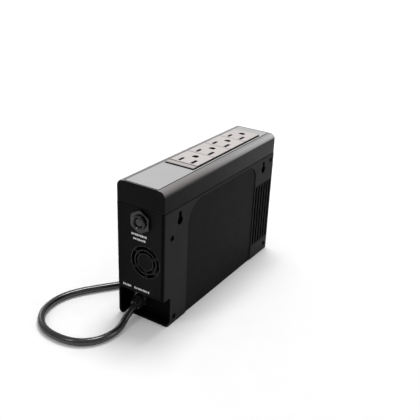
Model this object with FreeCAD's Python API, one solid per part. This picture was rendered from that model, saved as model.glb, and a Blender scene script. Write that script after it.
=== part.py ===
"""Slim desktop uninterruptible power supply, built as it comes apart on a bench.

Frame: X is the thin way through the unit (47), Y its length (182) and Z its height (125), in millimetres.
The origin is the middle of the base. The rear end, with the breaker, the fan and the cord, faces -Y, the
end with the power button faces +Y, and the side with the two wall-hanging keyholes faces +X.
"""
import FreeCAD, Part
import math
import os

os.makedirs("parts", exist_ok=True)
V = FreeCAD.Vector
X_AXIS = V(1, 0, 0)
Y_AXIS = V(0, 1, 0)
Z_AXIS = V(0, 0, 1)

# Overall size
WIDTH = 47.0
LENGTH = 182.0
HEIGHT = 125.0
HALF_W = WIDTH / 2
HALF_L = LENGTH / 2

# Housing: an open tub, a flat side cover and a cap
WALL = 2.2
COVER_T = 2.0
SPLIT_X = HALF_W - COVER_T
SEAM_Z = 104.8
SEAM_CHAMFER = 0.5
SPLIT_CHAMFER = 0.35
BASE_EDGE_R = 4.0
CORNER_R = 1.5
INNER_X0 = -HALF_W + WALL
INNER_Y = HALF_L - WALL
PAD_PLACES = ((-12.0, -66.0), (12.0, -66.0), (-12.0, 74.0), (12.0, 74.0))
PAD_R = 4.5
PAD_T = 1.2

# Cap, its inlaid top plate and the window for the outlets
CAP_HALF_W = 23.0
CAP_TOP = 123.4
CAP_EDGE_R = 5.5
CAP_END_R = 0.8
CAP_ROOF = CAP_TOP - WALL
INLAY_HALF_W = 15.9
INLAY_Y = (-89.1, 87.6)
INLAY_Z = (122.4, 123.55)
INLAY_GROOVE = 0.7
WINDOW_GAP = 1.0

# Outlet block: four grounded 15 A outlets in a row
BLOCK_HALF_W = 13.8
BLOCK_Y = (-39.0, 73.8)
BLOCK_Z = (106.0, 123.2)
CONTACT_CHANNEL_TOP = 109.8
LEAF_W = 4.0
STRIP_T = 0.8
OUTLETS = 4
OUTLET_PITCH = 26.7
FIRST_CELL_Y = -32.8
CELL_GAP = 0.3
BLADE_Y = 6.35
BLADE_X = 6.35
GROUND_STEP = 11.9
SLOT_W = 2.4
HOT_SLOT = 7.0
NEUTRAL_SLOT = 8.4
GROUND_R = 2.8

# Cord recess at the bottom of the rear end
RECESS_TOP = 27.0
RECESS_BACK = -79.2
NOTCH_END = -81.5
RECESS_RIB_Y = -83.5
FLOOR_EDGE_Y = -86.0

# Rear end fittings, centres as (x, z)
BREAKER = (1.2, 93.6)
BUSHING_R = 6.4
BUSHING_TIP = -95.8
BUTTON_R = 3.95
BUTTON_BORE_R = 4.05
NUT_FLATS = 17.5
NUT_T = 2.4
FAN = (5.2, 58.2)
FAN_SIZE = 30.0
FAN_DEPTH = 8.0
FAN_FRONT = -INNER_Y
FAN_BACK = FAN_FRONT + FAN_DEPTH
FAN_BORE_R = 14.2
HUB_R = 6.3
BLADE_TIP_R = 13.5
FAN_BLADES = 7
FAN_HOLES = 24.0
GRILLE_RINGS = ((7.8, 9.8), (11.2, 13.9))
GRILLE_SPOKES = (30, 140, 212, 272)
SPOKE_W = 2.6

# Side cover: keyholes, screws, vent slots and the shallow panel, places as (y, z)
KEYHOLES = ((-70.0, 93.0), (70.0, 93.0))
KEYHOLE_R = 3.65
KEYHOLE_SLOT = 3.8
KEYHOLE_TOP = 99.1
SCREWS = ((-80.5, 81.0), (-76.0, 6.2), (84.5, 98.5), (84.0, 7.0))
BOSS_ROOTS = (-21.3, 4.0, -21.3, -21.3)
SCREW_HEAD_R = 2.2
SCREW_HEAD_T = 1.2
SCREW_R = 1.25
CUP_R = 3.1
CUP_FLOOR_X = HALF_W - 3.4
CUP_SEAT_X = HALF_W - 2.4
BOSS_R = 3.0
VENTS = 6
VENT_Y0 = 59.0
VENT_PITCH = 5.4
VENT_W = 2.7
VENT_Z = (15.5, 78.0)
PANEL_Y = (-58.5, 55.5)
PANEL_TOP = 102.5
PANEL_DEPTH = 0.7
PANEL_R = (20.0, 15.0)

# Front end
POWER_BUTTON = (0.0, 80.0)
POWER_BUTTON_R = 5.2
LED = (0.0, 91.0)
LED_R = 1.5

# Supply cord, 1.5 m of 6.2 mm lead
CORD_R = 3.1
FLOOR_Z = 3.15
GLAND = V(-8.0, RECESS_BACK, 14.0)
GLAND_DROP = 19.0
GLAND_NECK_R = 4.55
BOOT_OUT = 9.5
GLAND_WAY = V(0, -math.cos(math.radians(GLAND_DROP)), -math.sin(math.radians(GLAND_DROP)))
FIRST_RUN = 12.5
ROUTE = [
    (-7.5, -110.0, FLOOR_Z),
    (-8.5, -124.5, FLOOR_Z),
    (-14.5, -138.5, FLOOR_Z),
    (-27.0, -148.0, FLOOR_Z),
    (-42.5, -151.0, FLOOR_Z),
    (-58.0, -147.0, FLOOR_Z),
    (-70.0, -136.0, FLOOR_Z),
    (-76.0, -120.5, FLOOR_Z),
    (-75.0, -103.5, FLOOR_Z),
    (-67.5, -88.0, FLOOR_Z),
    (-57.6, -74.2, FLOOR_Z),
    (-47.0, -60.6, FLOOR_Z),
    (-38.5, -44.5, FLOOR_Z),
    (-34.5, -27.0, FLOOR_Z),
    (-33.9, -9.0, FLOOR_Z),
    (-34.8, 9.3, FLOOR_Z),
]
LAST_RUN = 20.0
COIL_CENTRE = (-80.0, 58.0)
COIL_R = 44.5
COIL_PITCH = 6.75
LAYER_RISE = 6.75
LAYER_TURNS = 2.375
COIL_STRAIGHT = 2 * CORD_R
COIL_RUN_OUT = 14.0
COIL_FLOOR_Z = FLOOR_Z + 0.6

# Strap round the coil's turns, with the turns' extent at its angle
STRAP_ANGLE = 20.0
STRAP_IN = (25.9, 47.9)
STRAP_T = 0.5
STRAP_W = 9.0

# Plug at the cord's end
PLUG_BOOT = 28.0
PLUG_BODY = 32.0
PLUG_BLADE = 17.0
PLUG_Z = 12.1

# Boards, with the inverter board as (y0, y1, z0, z1)
BOARD_T = 1.6
FRONT_BOARD_Y = 80.5
PEG_PLACES = ((-9.0, 92.0), (9.0, 92.0))
MAIN_BOARD_X = -19.0
MAIN_BOARD = (-69.0, 0.0, 32.0, 99.0)
BOARD_FACE = MAIN_BOARD_X + BOARD_T
CORE = (-40.0, -8.0, 34.0, 62.0)
CAPACITORS = ((-58.5, 45.5, 6.5, 25.0), (-46.5, 40.0, 5.0, 20.0), (-50.0, 55.0, 5.0, 20.0))
CHOKE = (-8.0, 84.0)
WIRE_R = 1.1

# Battery: eight cells between two trays
CELL_R = 9.2
CELL_Z = (7.0, 72.0)
CELL_PLACES = [(x, 14.6 + 18.8 * i) for i in range(4) for x in (-9.6, 9.6)]
HOLDER = (-20.3, 20.3, 4.2, 80.4)
HOLDER_Z = 5.0
HOLDER_RIBS = ((5.5, 8.0), (41.5, 44.0), (77.0, 79.5))
LINK_T = 0.3


def block(x0, x1, y0, y1, z0, z1):
    """A box between two corners."""
    return Part.makeBox(x1 - x0, y1 - y0, z1 - z0, V(x0, y0, z0))


def rod(radius, start, end):
    """A round bar between two points."""
    return Part.makeCylinder(radius, (end - start).Length, start, end - start)


def along_y(radius, centre, y0, y1):
    """A round bar parallel to Y about a centre (x, z)."""
    return rod(radius, V(centre[0], y0, centre[1]), V(centre[0], y1, centre[1]))


def along_x(radius, centre, x0, x1):
    """A round bar parallel to X about a centre (y, z)."""
    return rod(radius, V(x0, centre[0], centre[1]), V(x1, centre[0], centre[1]))


def edges_along(solid, axis, test):
    """The straight edges parallel to an axis whose middle passes a test."""
    found = []
    for edge in solid.Edges:
        if not isinstance(edge.Curve, Part.Line):
            continue
        way = edge.tangentAt(edge.FirstParameter)
        if abs(way.dot(axis)) > 0.999 and test(edge.CenterOfMass):
            found.append(edge)
    return found


def rounded(solid, radius, axis, test):
    """The solid with its edges along an axis rounded."""
    return solid.makeFillet(radius, edges_along(solid, axis, test))


def everywhere(point):
    """The test that every edge passes."""
    return True


def prism(points, sweep):
    """A straight-sided prism: a closed outline and the way it is swept."""
    return Part.Face(Part.makePolygon(points + points[:1])).extrude(sweep)


def fuse_all(solids):
    """One solid from several that meet."""
    return solids[0].multiFuse(solids[1:]).removeSplitter()


def long_slot(centre_y, z0, z1, width, x0, x1):
    """An upright slot with round ends, cut along X."""
    low = along_x(width / 2, (centre_y, z0 + width / 2), x0, x1)
    high = along_x(width / 2, (centre_y, z1 - width / 2), x0, x1)
    middle = block(x0, x1, centre_y - width / 2, centre_y + width / 2, z0 + width / 2, z1 - width / 2)
    return fuse_all([low, middle, high])


def vent_slots(x0, x1):
    """The row of upright vent slots at the front end of a side."""
    z0, z1 = VENT_Z
    return [long_slot(VENT_Y0 + i * VENT_PITCH, z0, z1, VENT_W, x0, x1) for i in range(VENTS)]


def grille_slots():
    """Two broken rings cut through the rear wall in front of the fan."""
    y0, y1 = -HALF_L - 1, -INNER_Y + 1
    spokes = []
    for angle in GRILLE_SPOKES:
        spoke = block(0, FAN_SIZE, y0, y1, -SPOKE_W / 2, SPOKE_W / 2)
        spoke.rotate(V(0, 0, 0), Y_AXIS, -angle)
        spoke.translate(V(FAN[0], 0, FAN[1]))
        spokes.append(spoke)
    rings = [along_y(outer, FAN, y0, y1).cut(along_y(inner, FAN, y0, y1)) for inner, outer in GRILLE_RINGS]
    return [ring.cut(fuse_all(spokes)) for ring in rings]


def make_main_shell():
    """The tub: base, far side wall, both ends and the pocket that the cord leaves from."""
    tub = block(-HALF_W, SPLIT_X, -HALF_L, HALF_L, 0, SEAM_Z)
    tub = rounded(tub, BASE_EDGE_R, Y_AXIS, lambda c: c.x < 0 and c.z < 1)
    tub = rounded(tub, CORNER_R, Z_AXIS, lambda c: c.x < 0)
    seam_edges = edges_along(tub, Y_AXIS, lambda c: c.x < 0 and c.z > SEAM_Z - 1)
    seam_edges += edges_along(tub, X_AXIS, lambda c: c.z > SEAM_Z - 1)
    seam_edges += edges_along(tub, Z_AXIS, lambda c: c.x > SPLIT_X - 0.1)
    tub = tub.makeChamfer(SEAM_CHAMFER, seam_edges)
    inside = block(INNER_X0, HALF_W, -INNER_Y, INNER_Y, WALL, SEAM_Z + 1)
    pocket_walls = block(INNER_X0, HALF_W, -INNER_Y, RECESS_BACK + WALL, WALL, RECESS_TOP + WALL)
    tub = tub.cut(inside.cut(pocket_walls))
    pocket = block(INNER_X0, HALF_W, -HALF_L - 1, RECESS_BACK, WALL, RECESS_TOP)
    pocket = rounded(pocket, 2.0, Y_AXIS, lambda c: c.x < 0)
    sill = block(-HALF_W + BASE_EDGE_R, HALF_W, -HALF_L - 1, FLOOR_EDGE_Y, -1, WALL + 0.5)
    sill = rounded(sill, 3.0, Z_AXIS, lambda c: c.x < 0 and c.y > -HALF_L)
    tub = tub.cut(pocket).cut(sill)
    for centre, root in zip(SCREWS, BOSS_ROOTS):
        tub = tub.fuse(along_x(BOSS_R, centre, root, SPLIT_X))
        tub = tub.cut(along_x(CUP_R + 0.05, centre, CUP_FLOOR_X, SPLIT_X + 1))
    tub = tub.fuse(block(-3, SPLIT_X, RECESS_RIB_Y, RECESS_RIB_Y + 1, WALL - 1, WALL + 1))
    for y0, y1 in HOLDER_RIBS:
        tub = tub.fuse(block(INNER_X0, HOLDER[1], y0, y1, WALL, HOLDER_Z))
    for centre in PEG_PLACES:
        tub = tub.fuse(along_y(2.2, centre, FRONT_BOARD_Y + BOARD_T, INNER_Y))
        tub = tub.fuse(along_y(1.1, centre, FRONT_BOARD_Y - 0.4, INNER_Y))
    for y, z in SCREWS:
        tub = tub.cut(along_x(SCREW_R, (y, z), SPLIT_X - 12, SPLIT_X + 1))
    for centre in fan_corners():
        tub = tub.cut(along_y(SCREW_R, centre, -HALF_L + 1, -INNER_Y + 1))
    openings = grille_slots() + vent_slots(-HALF_W - 1, INNER_X0 + 1)
    openings.append(along_y(BUSHING_R + 0.1, BREAKER, -HALF_L - 1, -INNER_Y + 1))
    openings.append(along_y(POWER_BUTTON_R + 0.25, POWER_BUTTON, INNER_Y - 1, HALF_L + 1))
    openings.append(along_y(LED_R + 0.1, LED, INNER_Y - 1, HALF_L + 1))
    gland = (GLAND.x, GLAND.z)
    openings.append(along_y(GLAND_NECK_R + 0.05, gland, RECESS_BACK - 3, RECESS_BACK + WALL + 1))
    for x, y in PAD_PLACES:
        openings.append(Part.makeCylinder(PAD_R, PAD_T, V(x, y, 0)))
    return tub.cut(openings).removeSplitter()


def make_base_pads():
    """Four rubber pads set flush into the base."""
    return Part.makeCompound([Part.makeCylinder(PAD_R, PAD_T, V(x, y, 0)) for x, y in PAD_PLACES])


def panel_outline():
    """The shallow panel of the side cover: square at the foot, with a wide radius at each top corner."""
    (y0, y1), (rear, front) = PANEL_Y, PANEL_R
    x = HALF_W + 1
    rear_mid = V(x, y0 + rear * (1 - math.sqrt(0.5)), PANEL_TOP - rear * (1 - math.sqrt(0.5)))
    front_mid = V(x, y1 - front * (1 - math.sqrt(0.5)), PANEL_TOP - front * (1 - math.sqrt(0.5)))
    return Part.Wire(
        [
            Part.makeLine(V(x, y1, -1), V(x, y0, -1)),
            Part.makeLine(V(x, y0, -1), V(x, y0, PANEL_TOP - rear)),
            Part.Arc(V(x, y0, PANEL_TOP - rear), rear_mid, V(x, y0 + rear, PANEL_TOP)).toShape(),
            Part.makeLine(V(x, y0 + rear, PANEL_TOP), V(x, y1 - front, PANEL_TOP)),
            Part.Arc(V(x, y1 - front, PANEL_TOP), front_mid, V(x, y1, PANEL_TOP - front)).toShape(),
            Part.makeLine(V(x, y1, PANEL_TOP - front), V(x, y1, -1)),
        ]
    )


def keyhole(y, z):
    """A hole for a screw head with a narrow slot above it."""
    x0, x1 = SPLIT_X - 1, HALF_W + 1
    head = along_x(KEYHOLE_R, (y, z), x0, x1)
    shank = long_slot(y, z - KEYHOLE_SLOT / 2, KEYHOLE_TOP + KEYHOLE_SLOT / 2, KEYHOLE_SLOT, x0, x1)
    return head.fuse(shank)


def make_side_cover():
    """The flat cover on the keyhole side."""
    cover = block(SPLIT_X, HALF_W, -HALF_L, HALF_L, 0, SEAM_Z)
    cover = rounded(cover, CORNER_R, Z_AXIS, lambda c: c.x > HALF_W - 0.1)
    seam = edges_along(cover, Y_AXIS, lambda c: c.x > HALF_W - 0.1 and c.z > SEAM_Z - 1)
    cover = cover.makeChamfer(SEAM_CHAMFER, seam)
    cover = cover.makeChamfer(SPLIT_CHAMFER, edges_along(cover, Z_AXIS, lambda c: c.x < SPLIT_X + 0.1))
    cover = cover.cut(Part.Face(panel_outline()).extrude(V(-1 - PANEL_DEPTH, 0, 0)))
    cuts = vent_slots(SPLIT_X - 1, HALF_W + 1) + [keyhole(y, z) for y, z in KEYHOLES]
    for centre in SCREWS:
        cover = cover.fuse(along_x(CUP_R, centre, CUP_FLOOR_X, SPLIT_X))
        cuts.append(along_x(SCREW_R + 0.3, centre, CUP_FLOOR_X - 1, HALF_W + 1))
        cuts.append(along_x(SCREW_HEAD_R + 0.2, centre, CUP_SEAT_X, HALF_W + 1))
    notch = block(SPLIT_X - 1, HALF_W + 1, -HALF_L - 1, NOTCH_END, WALL, RECESS_TOP)
    cuts.append(rounded(notch, 2.0, X_AXIS, lambda c: c.y > -HALF_L))
    cuts.append(block(SPLIT_X - 1, HALF_W + 1, -HALF_L - 1, FLOOR_EDGE_Y, -1, WALL + 2.5))
    cover = cover.cut(cuts)
    return rounded(cover, 1.6, Z_AXIS, lambda c: c.x > HALF_W - 0.1 and abs(c.y - FLOOR_EDGE_Y) < 0.1)


def make_cover_screws():
    """Four pan-head screws that hold the side cover on its bosses."""
    screws = []
    face = CUP_SEAT_X + SCREW_HEAD_T
    for y, z in SCREWS:
        head = along_x(SCREW_HEAD_R, (y, z), CUP_SEAT_X, face)
        head = head.makeChamfer(0.35, [e for e in head.Edges if e.CenterOfMass.x > face - 0.1])
        cross = [
            block(face - 0.7, face + 1, y - 1.4, y + 1.4, z - 0.3, z + 0.3),
            block(face - 0.7, face + 1, y - 0.3, y + 0.3, z - 1.4, z + 1.4),
        ]
        screws.append(fuse_all([head, along_x(SCREW_R, (y, z), SPLIT_X - 11, CUP_SEAT_X)]).cut(cross))
    return Part.makeCompound(screws)


def cap_outline(y):
    """The cap's cross-section: straight sides and a flat top joined by wide rounds."""
    w, z1, r = CAP_HALF_W, CAP_TOP, CAP_EDGE_R
    k = r * (1 - math.sqrt(0.5))
    return Part.Wire(
        [
            Part.makeLine(V(-w, y, SEAM_Z), V(-w, y, z1 - r)),
            Part.Arc(V(-w, y, z1 - r), V(-w + k, y, z1 - k), V(-w + r, y, z1)).toShape(),
            Part.makeLine(V(-w + r, y, z1), V(w - r, y, z1)),
            Part.Arc(V(w - r, y, z1), V(w - k, y, z1 - k), V(w, y, z1 - r)).toShape(),
            Part.makeLine(V(w, y, z1 - r), V(w, y, SEAM_Z)),
            Part.makeLine(V(w, y, SEAM_Z), V(-w, y, SEAM_Z)),
        ]
    )


def outlet_window(gap):
    """The space that the outlet block passes through, with a gap all round."""
    half = BLOCK_HALF_W + gap
    return block(-half, half, BLOCK_Y[0] - gap, BLOCK_Y[1] + gap, SEAM_Z, HEIGHT)


def make_top_cap():
    """The cap: a hollow lid with a tray for the inlaid plate and a window for the outlets."""
    cap = Part.Face(cap_outline(-HALF_L)).extrude(V(0, LENGTH, 0))
    at_ends = [e for e in cap.Edges if abs(abs(e.CenterOfMass.y) - HALF_L) < 0.01]
    cap = cap.makeFillet(CAP_END_R, [e for e in at_ends if e.CenterOfMass.z > SEAM_Z + 1])
    inner_w = CAP_HALF_W - WALL
    inside = block(-inner_w, inner_w, -INNER_Y, INNER_Y, SEAM_Z - 1, CAP_ROOF)
    inside = rounded(inside, CAP_EDGE_R - WALL, Y_AXIS, lambda c: c.z > CAP_ROOF - 1)
    g = INLAY_GROOVE
    tray = block(-INLAY_HALF_W - g, INLAY_HALF_W + g, INLAY_Y[0] - g, INLAY_Y[1] + g, INLAY_Z[0], HEIGHT)
    tray = rounded(tray, 1.7, Z_AXIS, everywhere)
    return cap.cut([inside, tray, outlet_window(WINDOW_GAP)])


def make_top_inlay():
    """The thin plate that lies in the cap's tray round the outlets."""
    plate = block(-INLAY_HALF_W, INLAY_HALF_W, INLAY_Y[0], INLAY_Y[1], INLAY_Z[0], INLAY_Z[1])
    plate = rounded(plate, 1.0, Z_AXIS, everywhere)
    return plate.cut(outlet_window(WINDOW_GAP - 0.2))


def outlet_places():
    """The Y of each outlet's blade line."""
    return [FIRST_CELL_Y + BLADE_Y + i * OUTLET_PITCH for i in range(OUTLETS)]


def make_outlet_housing():
    """The black block that carries the contacts, with a flange under the cap's roof."""
    (y0, y1), (z0, z1) = BLOCK_Y, BLOCK_Z
    body = rounded(block(-BLOCK_HALF_W, BLOCK_HALF_W, y0, y1, z0, z1), 1.0, Z_AXIS, everywhere)
    flange = block(-17.2, 17.2, y0 - 4, y1 + 4, CAP_ROOF - 2, CAP_ROOF)
    body = fuse_all([body, rounded(flange, 2.0, Z_AXIS, everywhere)])
    cuts = [block(-11.5, 11.5, y0 + 5, y1 - 4, z0 - 1, CONTACT_CHANNEL_TOP)]
    for y in outlet_places():
        for side in (-1, 1):
            x = side * BLADE_X
            cuts.append(block(x - 2.2, x + 2.2, y - 5, y + 5, CONTACT_CHANNEL_TOP, z1 + 1))
        cuts.append(Part.makeCylinder(3.5, z1, V(0, y + GROUND_STEP, CONTACT_CHANNEL_TOP)))
    return body.cut(cuts)


def make_outlet_face(index):
    """One outlet's face, with its two blade slots and its ground hole."""
    y0 = FIRST_CELL_Y + index * OUTLET_PITCH + CELL_GAP / 2
    y1 = y0 + OUTLET_PITCH - CELL_GAP
    if index == OUTLETS - 1:
        y1 = BLOCK_Y[1]
    blade_y = outlet_places()[index]
    face = block(-BLOCK_HALF_W, BLOCK_HALF_W, y0, y1, BLOCK_Z[1], HEIGHT)
    z0, z1 = BLOCK_Z[1] - 1, HEIGHT + 1
    slots = []
    for x, long in ((-BLADE_X, HOT_SLOT), (BLADE_X, NEUTRAL_SLOT)):
        slots.append(block(x - SLOT_W / 2, x + SLOT_W / 2, blade_y - long / 2, blade_y + long / 2, z0, z1))
    ground = Part.makeCylinder(GROUND_R, z1 - z0, V(0, blade_y + GROUND_STEP, z0))
    flat = block(-GROUND_R, GROUND_R, blade_y, blade_y + GROUND_STEP - GROUND_R * 0.75, z0, z1)
    face = face.cut(slots + [ground.cut(flat)])
    return face.makeChamfer(0.35, [e for e in face.Edges if e.CenterOfMass.z > HEIGHT - 0.01])


def make_outlet_end_strip():
    """The plain strip at the rear of the outlet faces."""
    front = FIRST_CELL_Y - CELL_GAP / 2
    strip = block(-BLOCK_HALF_W, BLOCK_HALF_W, BLOCK_Y[0], front, BLOCK_Z[1], HEIGHT - 0.3)
    return strip.makeChamfer(0.35, [e for e in strip.Edges if e.CenterOfMass.z > HEIGHT - 0.31])


def make_outlet_back_cover():
    """The plate that closes the contact channel from below."""
    top = CONTACT_CHANNEL_TOP - STRIP_T
    return block(-11.3, 11.3, BLOCK_Y[0] + 5.2, BLOCK_Y[1] - 4.2, BLOCK_Z[0], top)


def make_bus_bar(x, step, gap):
    """A strip that joins the four outlets, with a pair of spring leaves under each hole."""
    z0 = CONTACT_CHANNEL_TOP - STRIP_T
    strip = block(x - 2.0, x + 2.0, BLOCK_Y[0] + 6, BLOCK_Y[1] - 5, z0, z0 + STRIP_T)
    leaves = []
    for y in outlet_places():
        for side in (-1, 1):
            inner = x + side * gap / 2
            outer = inner + side * 0.6
            mouth = inner + side * 0.5
            outline = [
                (inner, z0 + 0.4),
                (outer, z0 + 0.4),
                (outer, z0 + 8),
                (mouth + side * 0.4, z0 + 10),
                (mouth, z0 + 10),
                (inner, z0 + 8),
            ]
            points = [V(leaf_x, y + step - LEAF_W / 2, z) for leaf_x, z in outline]
            leaves.append(prism(points, V(0, LEAF_W, 0)))
    return fuse_all([strip] + leaves)


def make_breaker_body():
    """The resettable breaker: a flat case with a round bushing through the rear wall."""
    x, z = BREAKER
    case = block(x - 6.5, x + 6.5, -INNER_Y, -60, z - 8.1, z + 8.7)
    case = rounded(case, 1.0, Y_AXIS, everywhere)
    bushing = along_y(BUSHING_R, BREAKER, BUSHING_TIP, -INNER_Y + 1)
    bushing = bushing.makeFillet(1.0, [e for e in bushing.Edges if e.CenterOfMass.y < BUSHING_TIP + 0.1])
    bore = along_y(BUTTON_BORE_R, BREAKER, BUSHING_TIP - 1, -76)
    mouth = Part.makeCone(5.0, BUTTON_BORE_R, 0.95, V(x, BUSHING_TIP, z), Y_AXIS)
    return fuse_all([case, bushing]).cut([bore, mouth])


def make_breaker_nut():
    """The hexagon nut that clamps the breaker to the rear wall."""
    x, z = BREAKER
    corner = NUT_FLATS / math.sqrt(3)
    angles = [math.radians(30 + 60 * i) for i in range(6)]
    points = [V(x + corner * math.cos(a), -HALF_L, z + corner * math.sin(a)) for a in angles]
    nut = prism(points, V(0, -NUT_T, 0))
    dome = Part.makeCone(corner + 1.4, corner - 0.6, NUT_T, V(x, -HALF_L, z), V(0, -1, 0))
    return nut.common(dome).cut(along_y(BUSHING_R + 0.05, BREAKER, -HALF_L - 9, -HALF_L + 1))


def make_breaker_button():
    """The reset button, a rod with a domed end that slides in the bushing."""
    button = along_y(BUTTON_R, BREAKER, -94.4, -80)
    return button.makeFillet(1.2, [e for e in button.Edges if e.CenterOfMass.y < -94])


def make_breaker_terminals():
    """Two tabs at the back of the breaker."""
    x, z = BREAKER
    middles = (z - 4.5, z + 4.5)
    return Part.makeCompound([block(x - 0.4, x + 0.4, -60, -52, mid - 3.15, mid + 3.15) for mid in middles])


def fan_corners():
    """The (x, z) of the fan's four screws."""
    half = FAN_HOLES / 2
    return [(FAN[0] + x, FAN[1] + z) for x in (-half, half) for z in (-half, half)]


def make_fan_frame():
    """The fan's square frame, with a motor plate held by three struts behind the blades."""
    x, z = FAN
    h = FAN_SIZE / 2
    frame = rounded(block(x - h, x + h, FAN_FRONT, FAN_BACK, z - h, z + h), 3.0, Y_AXIS, everywhere)
    frame = frame.cut(along_y(FAN_BORE_R, FAN, FAN_FRONT - 1, FAN_BACK + 1))
    plate = along_y(HUB_R, FAN, FAN_BACK - 1.4, FAN_BACK)
    for angle in (90, 210, 330):
        strut = block(HUB_R - 1, FAN_BORE_R + 0.5, FAN_BACK - 1.4, FAN_BACK, -1.1, 1.1)
        strut.rotate(V(0, 0, 0), Y_AXIS, angle)
        strut.translate(V(x, 0, z))
        plate = plate.fuse(strut)
    holes = [along_y(1.4, centre, FAN_FRONT - 1, FAN_BACK + 1) for centre in fan_corners()]
    holes.append(along_y(0.8, FAN, FAN_FRONT, FAN_BACK + 1))
    return frame.fuse(plate).cut(holes)


def make_fan_stator():
    """The wound motor core on the fan's motor plate."""
    core = along_y(4.6, FAN, FAN_BACK - 5.6, FAN_BACK - 1.4)
    slots = []
    for i in range(4):
        slot = block(2.4, 6, FAN_BACK - 6, FAN_BACK - 1, -0.5, 0.5)
        slot.rotate(V(0, 0, 0), Y_AXIS, 45 + 90 * i)
        slot.translate(V(FAN[0], 0, FAN[1]))
        slots.append(slot)
    return core.cut(slots + [along_y(0.8, FAN, FAN_BACK - 6, FAN_BACK)])


def blade_section(radius, chord, rise):
    """A thin curved blade section on the plane at one radius: two arcs and two short ends."""
    t = 0.35
    c, h = chord / 2, rise / 2
    bow = 0.12 * chord
    lower = Part.Arc(V(radius, -h, -c + t), V(radius, -bow - t, 0), V(radius, h, c + t))
    upper = Part.Arc(V(radius, h, c - t), V(radius, -bow + t, 0), V(radius, -h, -c - t))
    return Part.Wire(
        [
            lower.toShape(),
            Part.makeLine(V(radius, h, c + t), V(radius, h, c - t)),
            upper.toShape(),
            Part.makeLine(V(radius, -h, -c - t), V(radius, -h, -c + t)),
        ]
    )


def make_fan_rotor():
    """The fan's hub cup, its twisted blades and its shaft."""
    cup = along_y(HUB_R, FAN, FAN_FRONT + 0.6, FAN_FRONT + 5.4)
    cup = cup.makeFillet(0.8, [e for e in cup.Edges if e.CenterOfMass.y < FAN_FRONT + 0.7])
    cup = cup.cut(along_y(HUB_R - 1.0, FAN, FAN_FRONT + 1.6, FAN_FRONT + 6))
    root, tip = blade_section(HUB_R - 0.5, 3.6, 4.0), blade_section(BLADE_TIP_R, 7.0, 3.4)
    blade = Part.makeLoft([root, tip], True, True)
    blades = []
    for i in range(FAN_BLADES):
        turned = blade.copy()
        turned.rotate(V(0, 0, 0), Y_AXIS, 360 * i / FAN_BLADES)
        turned.translate(V(FAN[0], FAN_FRONT + 3.0, FAN[1]))
        blades.append(turned)
    shaft = along_y(0.75, FAN, FAN_FRONT + 1.2, FAN_BACK - 0.4)
    return fuse_all([cup, shaft] + blades)


def make_fan_screws():
    """Four screws that hold the fan on the rear wall from inside."""
    screws = []
    for centre in fan_corners():
        head = along_y(2.2, centre, FAN_BACK, FAN_BACK + 1.5)
        screws.append(fuse_all([head, along_y(1.2, centre, -HALF_L + 1, FAN_BACK)]))
    return Part.makeCompound(screws)


def make_strain_relief():
    """The ribbed rubber boot where the cord leaves the recess, with a collar that grips the wall."""
    way = GLAND_WAY
    collar = rod(7.0, GLAND + V(0, WALL, 0), GLAND + V(0, WALL + 3, 0))
    neck = rod(GLAND_NECK_R, GLAND + V(0, -1.5, 0), GLAND + V(0, WALL + 8, 0))
    flange = rod(6.6, GLAND, GLAND + V(0, -1.6, 0))
    boot = Part.makeCone(5.4, 4.3, BOOT_OUT, GLAND, way)
    ribs = []
    for i in range(3):
        near = 3.0 + 2.3 * i
        ribs.append(rod(5.5 - 0.45 * i, GLAND + way * near, GLAND + way * (near + 1.3)))
    inside = block(-20, 20, RECESS_BACK, 0, 0, 40)
    solid = fuse_all([flange, boot.cut(inside)] + ribs)
    return fuse_all([solid, collar, neck])


def corner_arc(start, corner, end):
    """The arc that leaves one point towards a corner and reaches the other point from it."""
    middle = (start + end) * 0.5
    half = (end - start).Length / 2
    leg = (corner - start).Length
    turn = 2 * math.acos(min(1.0, half / leg))
    if turn < 1e-4:
        return Part.makeLine(start, end)
    rise = (corner - middle).normalize() * (half * math.tan(turn / 4))
    return Part.Arc(start, middle + rise, end).toShape()


def coil_point(angle):
    """A point of the coil: in along the floor, up a layer in half a turn, and out again."""
    full = 2 * math.pi
    in_end = LAYER_TURNS * full
    inner = COIL_R - COIL_PITCH * LAYER_TURNS
    if angle <= in_end:
        radius, rise = COIL_R - COIL_PITCH * angle / full, 0.0
    elif angle <= in_end + math.pi:
        climb = angle - in_end
        radius = inner - COIL_PITCH / full * math.sin(climb)
        rise = LAYER_RISE * (1 - math.cos(climb)) / 2
    else:
        radius, rise = inner + COIL_PITCH * (angle - in_end - math.pi) / full, LAYER_RISE
    x = COIL_CENTRE[0] + radius * math.cos(angle)
    y = COIL_CENTRE[1] + radius * math.sin(angle)
    return V(x, y, COIL_FLOOR_Z + rise)


def coil_way(angle):
    """The coil's direction at an angle."""
    step = 1e-3
    return (coil_point(angle + step) - coil_point(angle - step)).normalize()


COIL_ANGLE = (2 * LAYER_TURNS + 0.5) * 2 * math.pi
COIL_START = coil_point(0) - coil_way(0) * COIL_STRAIGHT
COIL_END_WAY = V(-1, 0, 0)
COIL_END = coil_point(COIL_ANGLE) + COIL_END_WAY * COIL_RUN_OUT


def joined_arcs(p0, t0, p1, t1):
    """Two arcs that leave one point along its direction and reach the other along its own."""
    v, t, c = p1 - p0, t0 + t1, t0.dot(t1)
    k = 2 * (1 - c)
    d = (-v.dot(t) + math.sqrt(v.dot(t) ** 2 + k * v.dot(v))) / k
    q0, q1 = p0 + t0 * d, p1 - t1 * d
    middle = (q0 + q1) * 0.5
    return [corner_arc(p0, q0, middle), corner_arc(middle, q1, p1)]


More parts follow.
